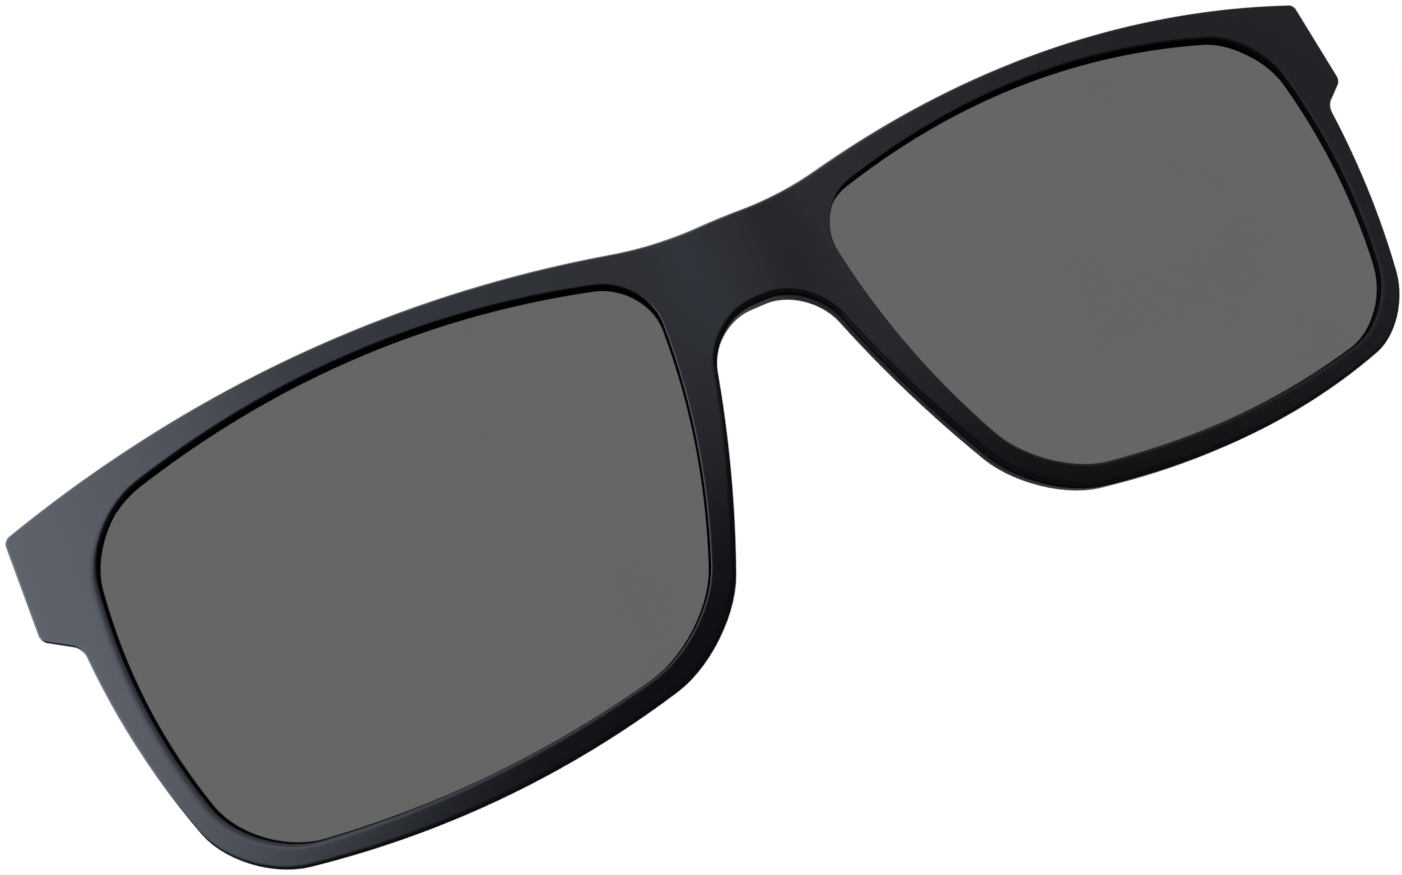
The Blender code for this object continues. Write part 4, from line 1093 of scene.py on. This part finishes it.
def ribbed_pad():
    """Silicone pad with round edges and shallow ribs that grip the spectacle bridge."""
    low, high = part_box("bridge_pad")
    columns, rows = PAD_COLUMNS, PAD_ROWS
    edge = PAD_EDGE
    mesh = bmesh.new()
    wear_highlight_mark = mesh.verts.layers.float.new("edge")
    grid = []
    for j in range(rows + 1):
        line = []
        for i in range(columns + 1):
            x = low.x + (high.x - low.x) * i / columns
            z = low.z + (high.z - low.z) * j / rows
            inset = min(x - low.x, high.x - x, z - low.z, high.z - z)
            ease = math.sqrt(max(0.0, 1 - max(0.0, 1 - inset / edge) ** 2))
            share = (z - low.z) / (high.z - low.z)
            rib = 0.5 - 0.5 * math.cos(2 * math.pi * PAD_RIBS * share)
            y = high.y - edge * (1 - ease) - PAD_RIB_DEPTH * (1 - rib) * min(1.0, inset / edge)
            vert = mesh.verts.new((x, y, z))
            # The pad's edge is marked for wear and a painted highlight
            vert[wear_highlight_mark] = 1.0 - ease
            line.append(vert)
        grid.append(line)
    for j in range(rows):
        for i in range(columns):
            mesh.faces.new((grid[j][i], grid[j][i + 1], grid[j + 1][i + 1], grid[j + 1][i]))
    rim = grid[0] + [line[-1] for line in grid[1:]] + grid[-1][-2::-1]
    rim += [line[0] for line in grid[-2:0:-1]]
    foot = [mesh.verts.new((vert.co.x, low.y, vert.co.z)) for vert in rim]
    loft(mesh, [rim, foot])
    mesh.faces.new(foot)
    bmesh.ops.triangulate(mesh, faces=[face for face in mesh.faces if len(face.verts) > 4])
    finished("grip_pad", mesh, "clip", ["bridge_pad"], "grey_silicone", SILICONE,
             sharp=PAD_SHARP_ANGLE)


def eased_pieces():
    """Pieces that keep the CAD's shape but for their edges."""
    eased("hinge_leaf", "steel_leaf", "front", "spring_steel", STEEL, LEAF_EASE)
    eased("clip_body", "case_body", "clip", "black_case", CASE, CASE_EASE)
    eased("slide_cover", "case_cover", "clip", "black_case", CASE, CASE_EASE)
    eased("jaw_slide", "jaw_tee", "jaw", "spring_steel", STEEL, JAW_EASE)
    for side in WEARER_SIDES:
        eased(f"friction_washer_{side}", f"bronze_ring_{side}", "clip", "bronze_washer", BRONZE,
              WASHER_EASE)


# Stage, light and camera

def backdrop_share(tree, place, reach):
    """Share of the white backdrop, none at the object and all behind it, and the rays that see it."""
    behind = add(tree, "ShaderNodeMapRange", {0: place}, span(reach))
    path = add(tree, "ShaderNodeLightPath").outputs
    glossy = calc(tree, "MULTIPLY", path["Is Glossy Ray"], behind.outputs[0])
    through = calc(tree, "MAXIMUM", path["Is Camera Ray"], path["Is Transmission Ray"])
    return behind.outputs[0], calc(tree, "MAXIMUM", through, glossy)


def level_ramp(tree, share, colours):
    """Ramp over the X of a direction, with one colour at each place."""
    ramp = add(tree, "ShaderNodeValToRGB", {"Fac": share})
    band = ramp.color_ramp
    while len(band.elements) < len(colours):
        band.elements.new(0.5)
    for element, (place, colour) in zip(band.elements, colours):
        element.position = (place + 1) / 2
        element.color = (*colour, 1.0)
    return ramp


def backdrop_world():
    """White backdrop behind the object, and a dim studio in front of it with a window at the left."""
    world = bpy.data.worlds.new("studio")
    bpy.context.scene.world = world
    world.use_nodes = True
    tree = world.node_tree
    tree.nodes.clear()
    way = add(tree, "ShaderNodeTexCoord").outputs["Generated"]
    parts = add(tree, "ShaderNodeSeparateXYZ", {0: way})
    sweep = add(tree, "ShaderNodeMapRange", {0: parts.outputs["X"]}, span((-1.0, 1.0)))
    colours = []
    for place, level in STUDIO_LEVELS:
        tint = WINDOW_TINT if place < ROOM_START else ROOM_TINT
        colours.append((place, [part * level / STUDIO_PEAK for part in tint]))
    ramp = level_ramp(tree, sweep.outputs[0], colours)
    sills = [(place, [SILL_OFFSET + height] * 3) for place, height in STUDIO_SILLS]
    sill = level_ramp(tree, sweep.outputs[0], sills)
    height = calc(tree, "SUBTRACT", parts.outputs["Z"], sill.outputs["Color"])
    above = add(tree, "ShaderNodeMapRange", {0: height},
                span((-SILL_OFFSET, SILL_DEPTH - SILL_OFFSET)), interpolation_type="SMOOTHSTEP")
    level = calc(tree, "MULTIPLY", above.outputs[0], STUDIO_PEAK)
    studio = add(tree, "ShaderNodeVectorMath", {0: ramp.outputs["Color"], "Scale": level},
                 operation="SCALE")
    behind, seen = backdrop_share(tree, parts.outputs["Y"], BACKDROP_SPAN)
    room = add(tree, "ShaderNodeMix", {"Factor": behind, "A": studio.outputs[0]},
               {"B": (BACKDROP_LIGHT, BACKDROP_LIGHT, BACKDROP_LIGHT, 1.0)}, data_type="RGBA")
    shown = add(tree, "ShaderNodeMix", {"Factor": seen, "A": room.outputs["Result"]},
                {"B": (1.0, 1.0, 1.0, 1.0)}, data_type="RGBA")
    light = add(tree, "ShaderNodeBackground", {"Color": shown.outputs["Result"]}, {"Strength": 1.0})
    add(tree, "ShaderNodeOutputWorld", {"Surface": light.outputs[0]})


def pale_floor():
    """White floor that keeps the object's shadow, and lights little back up at it."""
    low, _ = cad_box
    mesh = bmesh.new()
    bmesh.ops.create_grid(mesh, x_segments=2, y_segments=2, size=FLOOR_SIZE / 2,
                          matrix=Matrix.Translation((0.0, 0.0, low.z - FLOOR_DROP)))
    floor = linked("floor", mesh_data("floor", mesh))
    finish = bpy.data.materials.new("floor_paper")
    finish.use_nodes = True
    tree = finish.node_tree
    tree.nodes.clear()
    place = add(tree, "ShaderNodeTexCoord").outputs["Object"]
    parts = add(tree, "ShaderNodeSeparateXYZ", {0: place})
    _, seen = backdrop_share(tree, parts.outputs["Y"], FLOOR_BACK)
    paper = add(tree, "ShaderNodeBsdfDiffuse", values={"Color": FLOOR_PAPER})
    glow = add(tree, "ShaderNodeEmission", values={"Color": FLOOR_GLOW,
                                                   "Strength": FLOOR_GLOW_STRENGTH})
    white = add(tree, "ShaderNodeAddShader", {0: paper.outputs[0], 1: glow.outputs[0]})
    shade = add(tree, "ShaderNodeBsdfDiffuse", values={"Color": FLOOR_SHADE})
    both = add(tree, "ShaderNodeMixShader", {0: seen, 1: shade.outputs[0], 2: white.outputs[0]})
    add(tree, "ShaderNodeOutputMaterial", {"Surface": both.outputs[0]})
    floor.data.materials.append(finish)


def softbox():
    """Soft lamp overhead that looks at the object."""
    lamp = bpy.data.lights.new("overhead", "AREA")
    lamp.shape = "RECTANGLE"
    lamp.size = SOFTBOX_SIZE
    lamp.size_y = SOFTBOX_SIZE
    lamp.energy = SOFTBOX_POWER
    holder = linked("overhead", lamp)
    holder.location = SOFTBOX_PLACE
    holder.rotation_euler = (-SOFTBOX_PLACE).to_track_quat("-Z", "Y").to_euler()


def camera():
    """Camera that stands and looks as the photograph's did."""
    ahead = CAMERA_AHEAD.normalized()
    right = ahead.cross(CAMERA_UP).normalized()
    up = right.cross(ahead)
    data = bpy.data.cameras.new("camera")
    data.sensor_fit = "HORIZONTAL"
    data.sensor_width = CAMERA_SENSOR
    data.lens = CAMERA_LENS
    data.clip_start = CAMERA_NEAR
    holder = linked("camera", data)
    turn = Matrix((right, up, -ahead)).transposed()
    holder.matrix_world = Matrix.Translation(CAMERA_PLACE) @ turn.to_4x4()
    bpy.context.scene.camera = holder


camera()
backdrop_world()
pale_floor()
softbox()

moulded_front()
tinted("tinted_lens_left", LENS_EDGE, "lens_left")
tinted("tinted_lens_right", mirrored(LENS_EDGE), "lens_right")
eased_pieces()
hinge_parts()
hooks()
lower_loop()
springs()
screws()
ribbed_pad()

bpy.context.scene.view_settings.view_transform = "Standard"
bpy.context.view_layer.update()
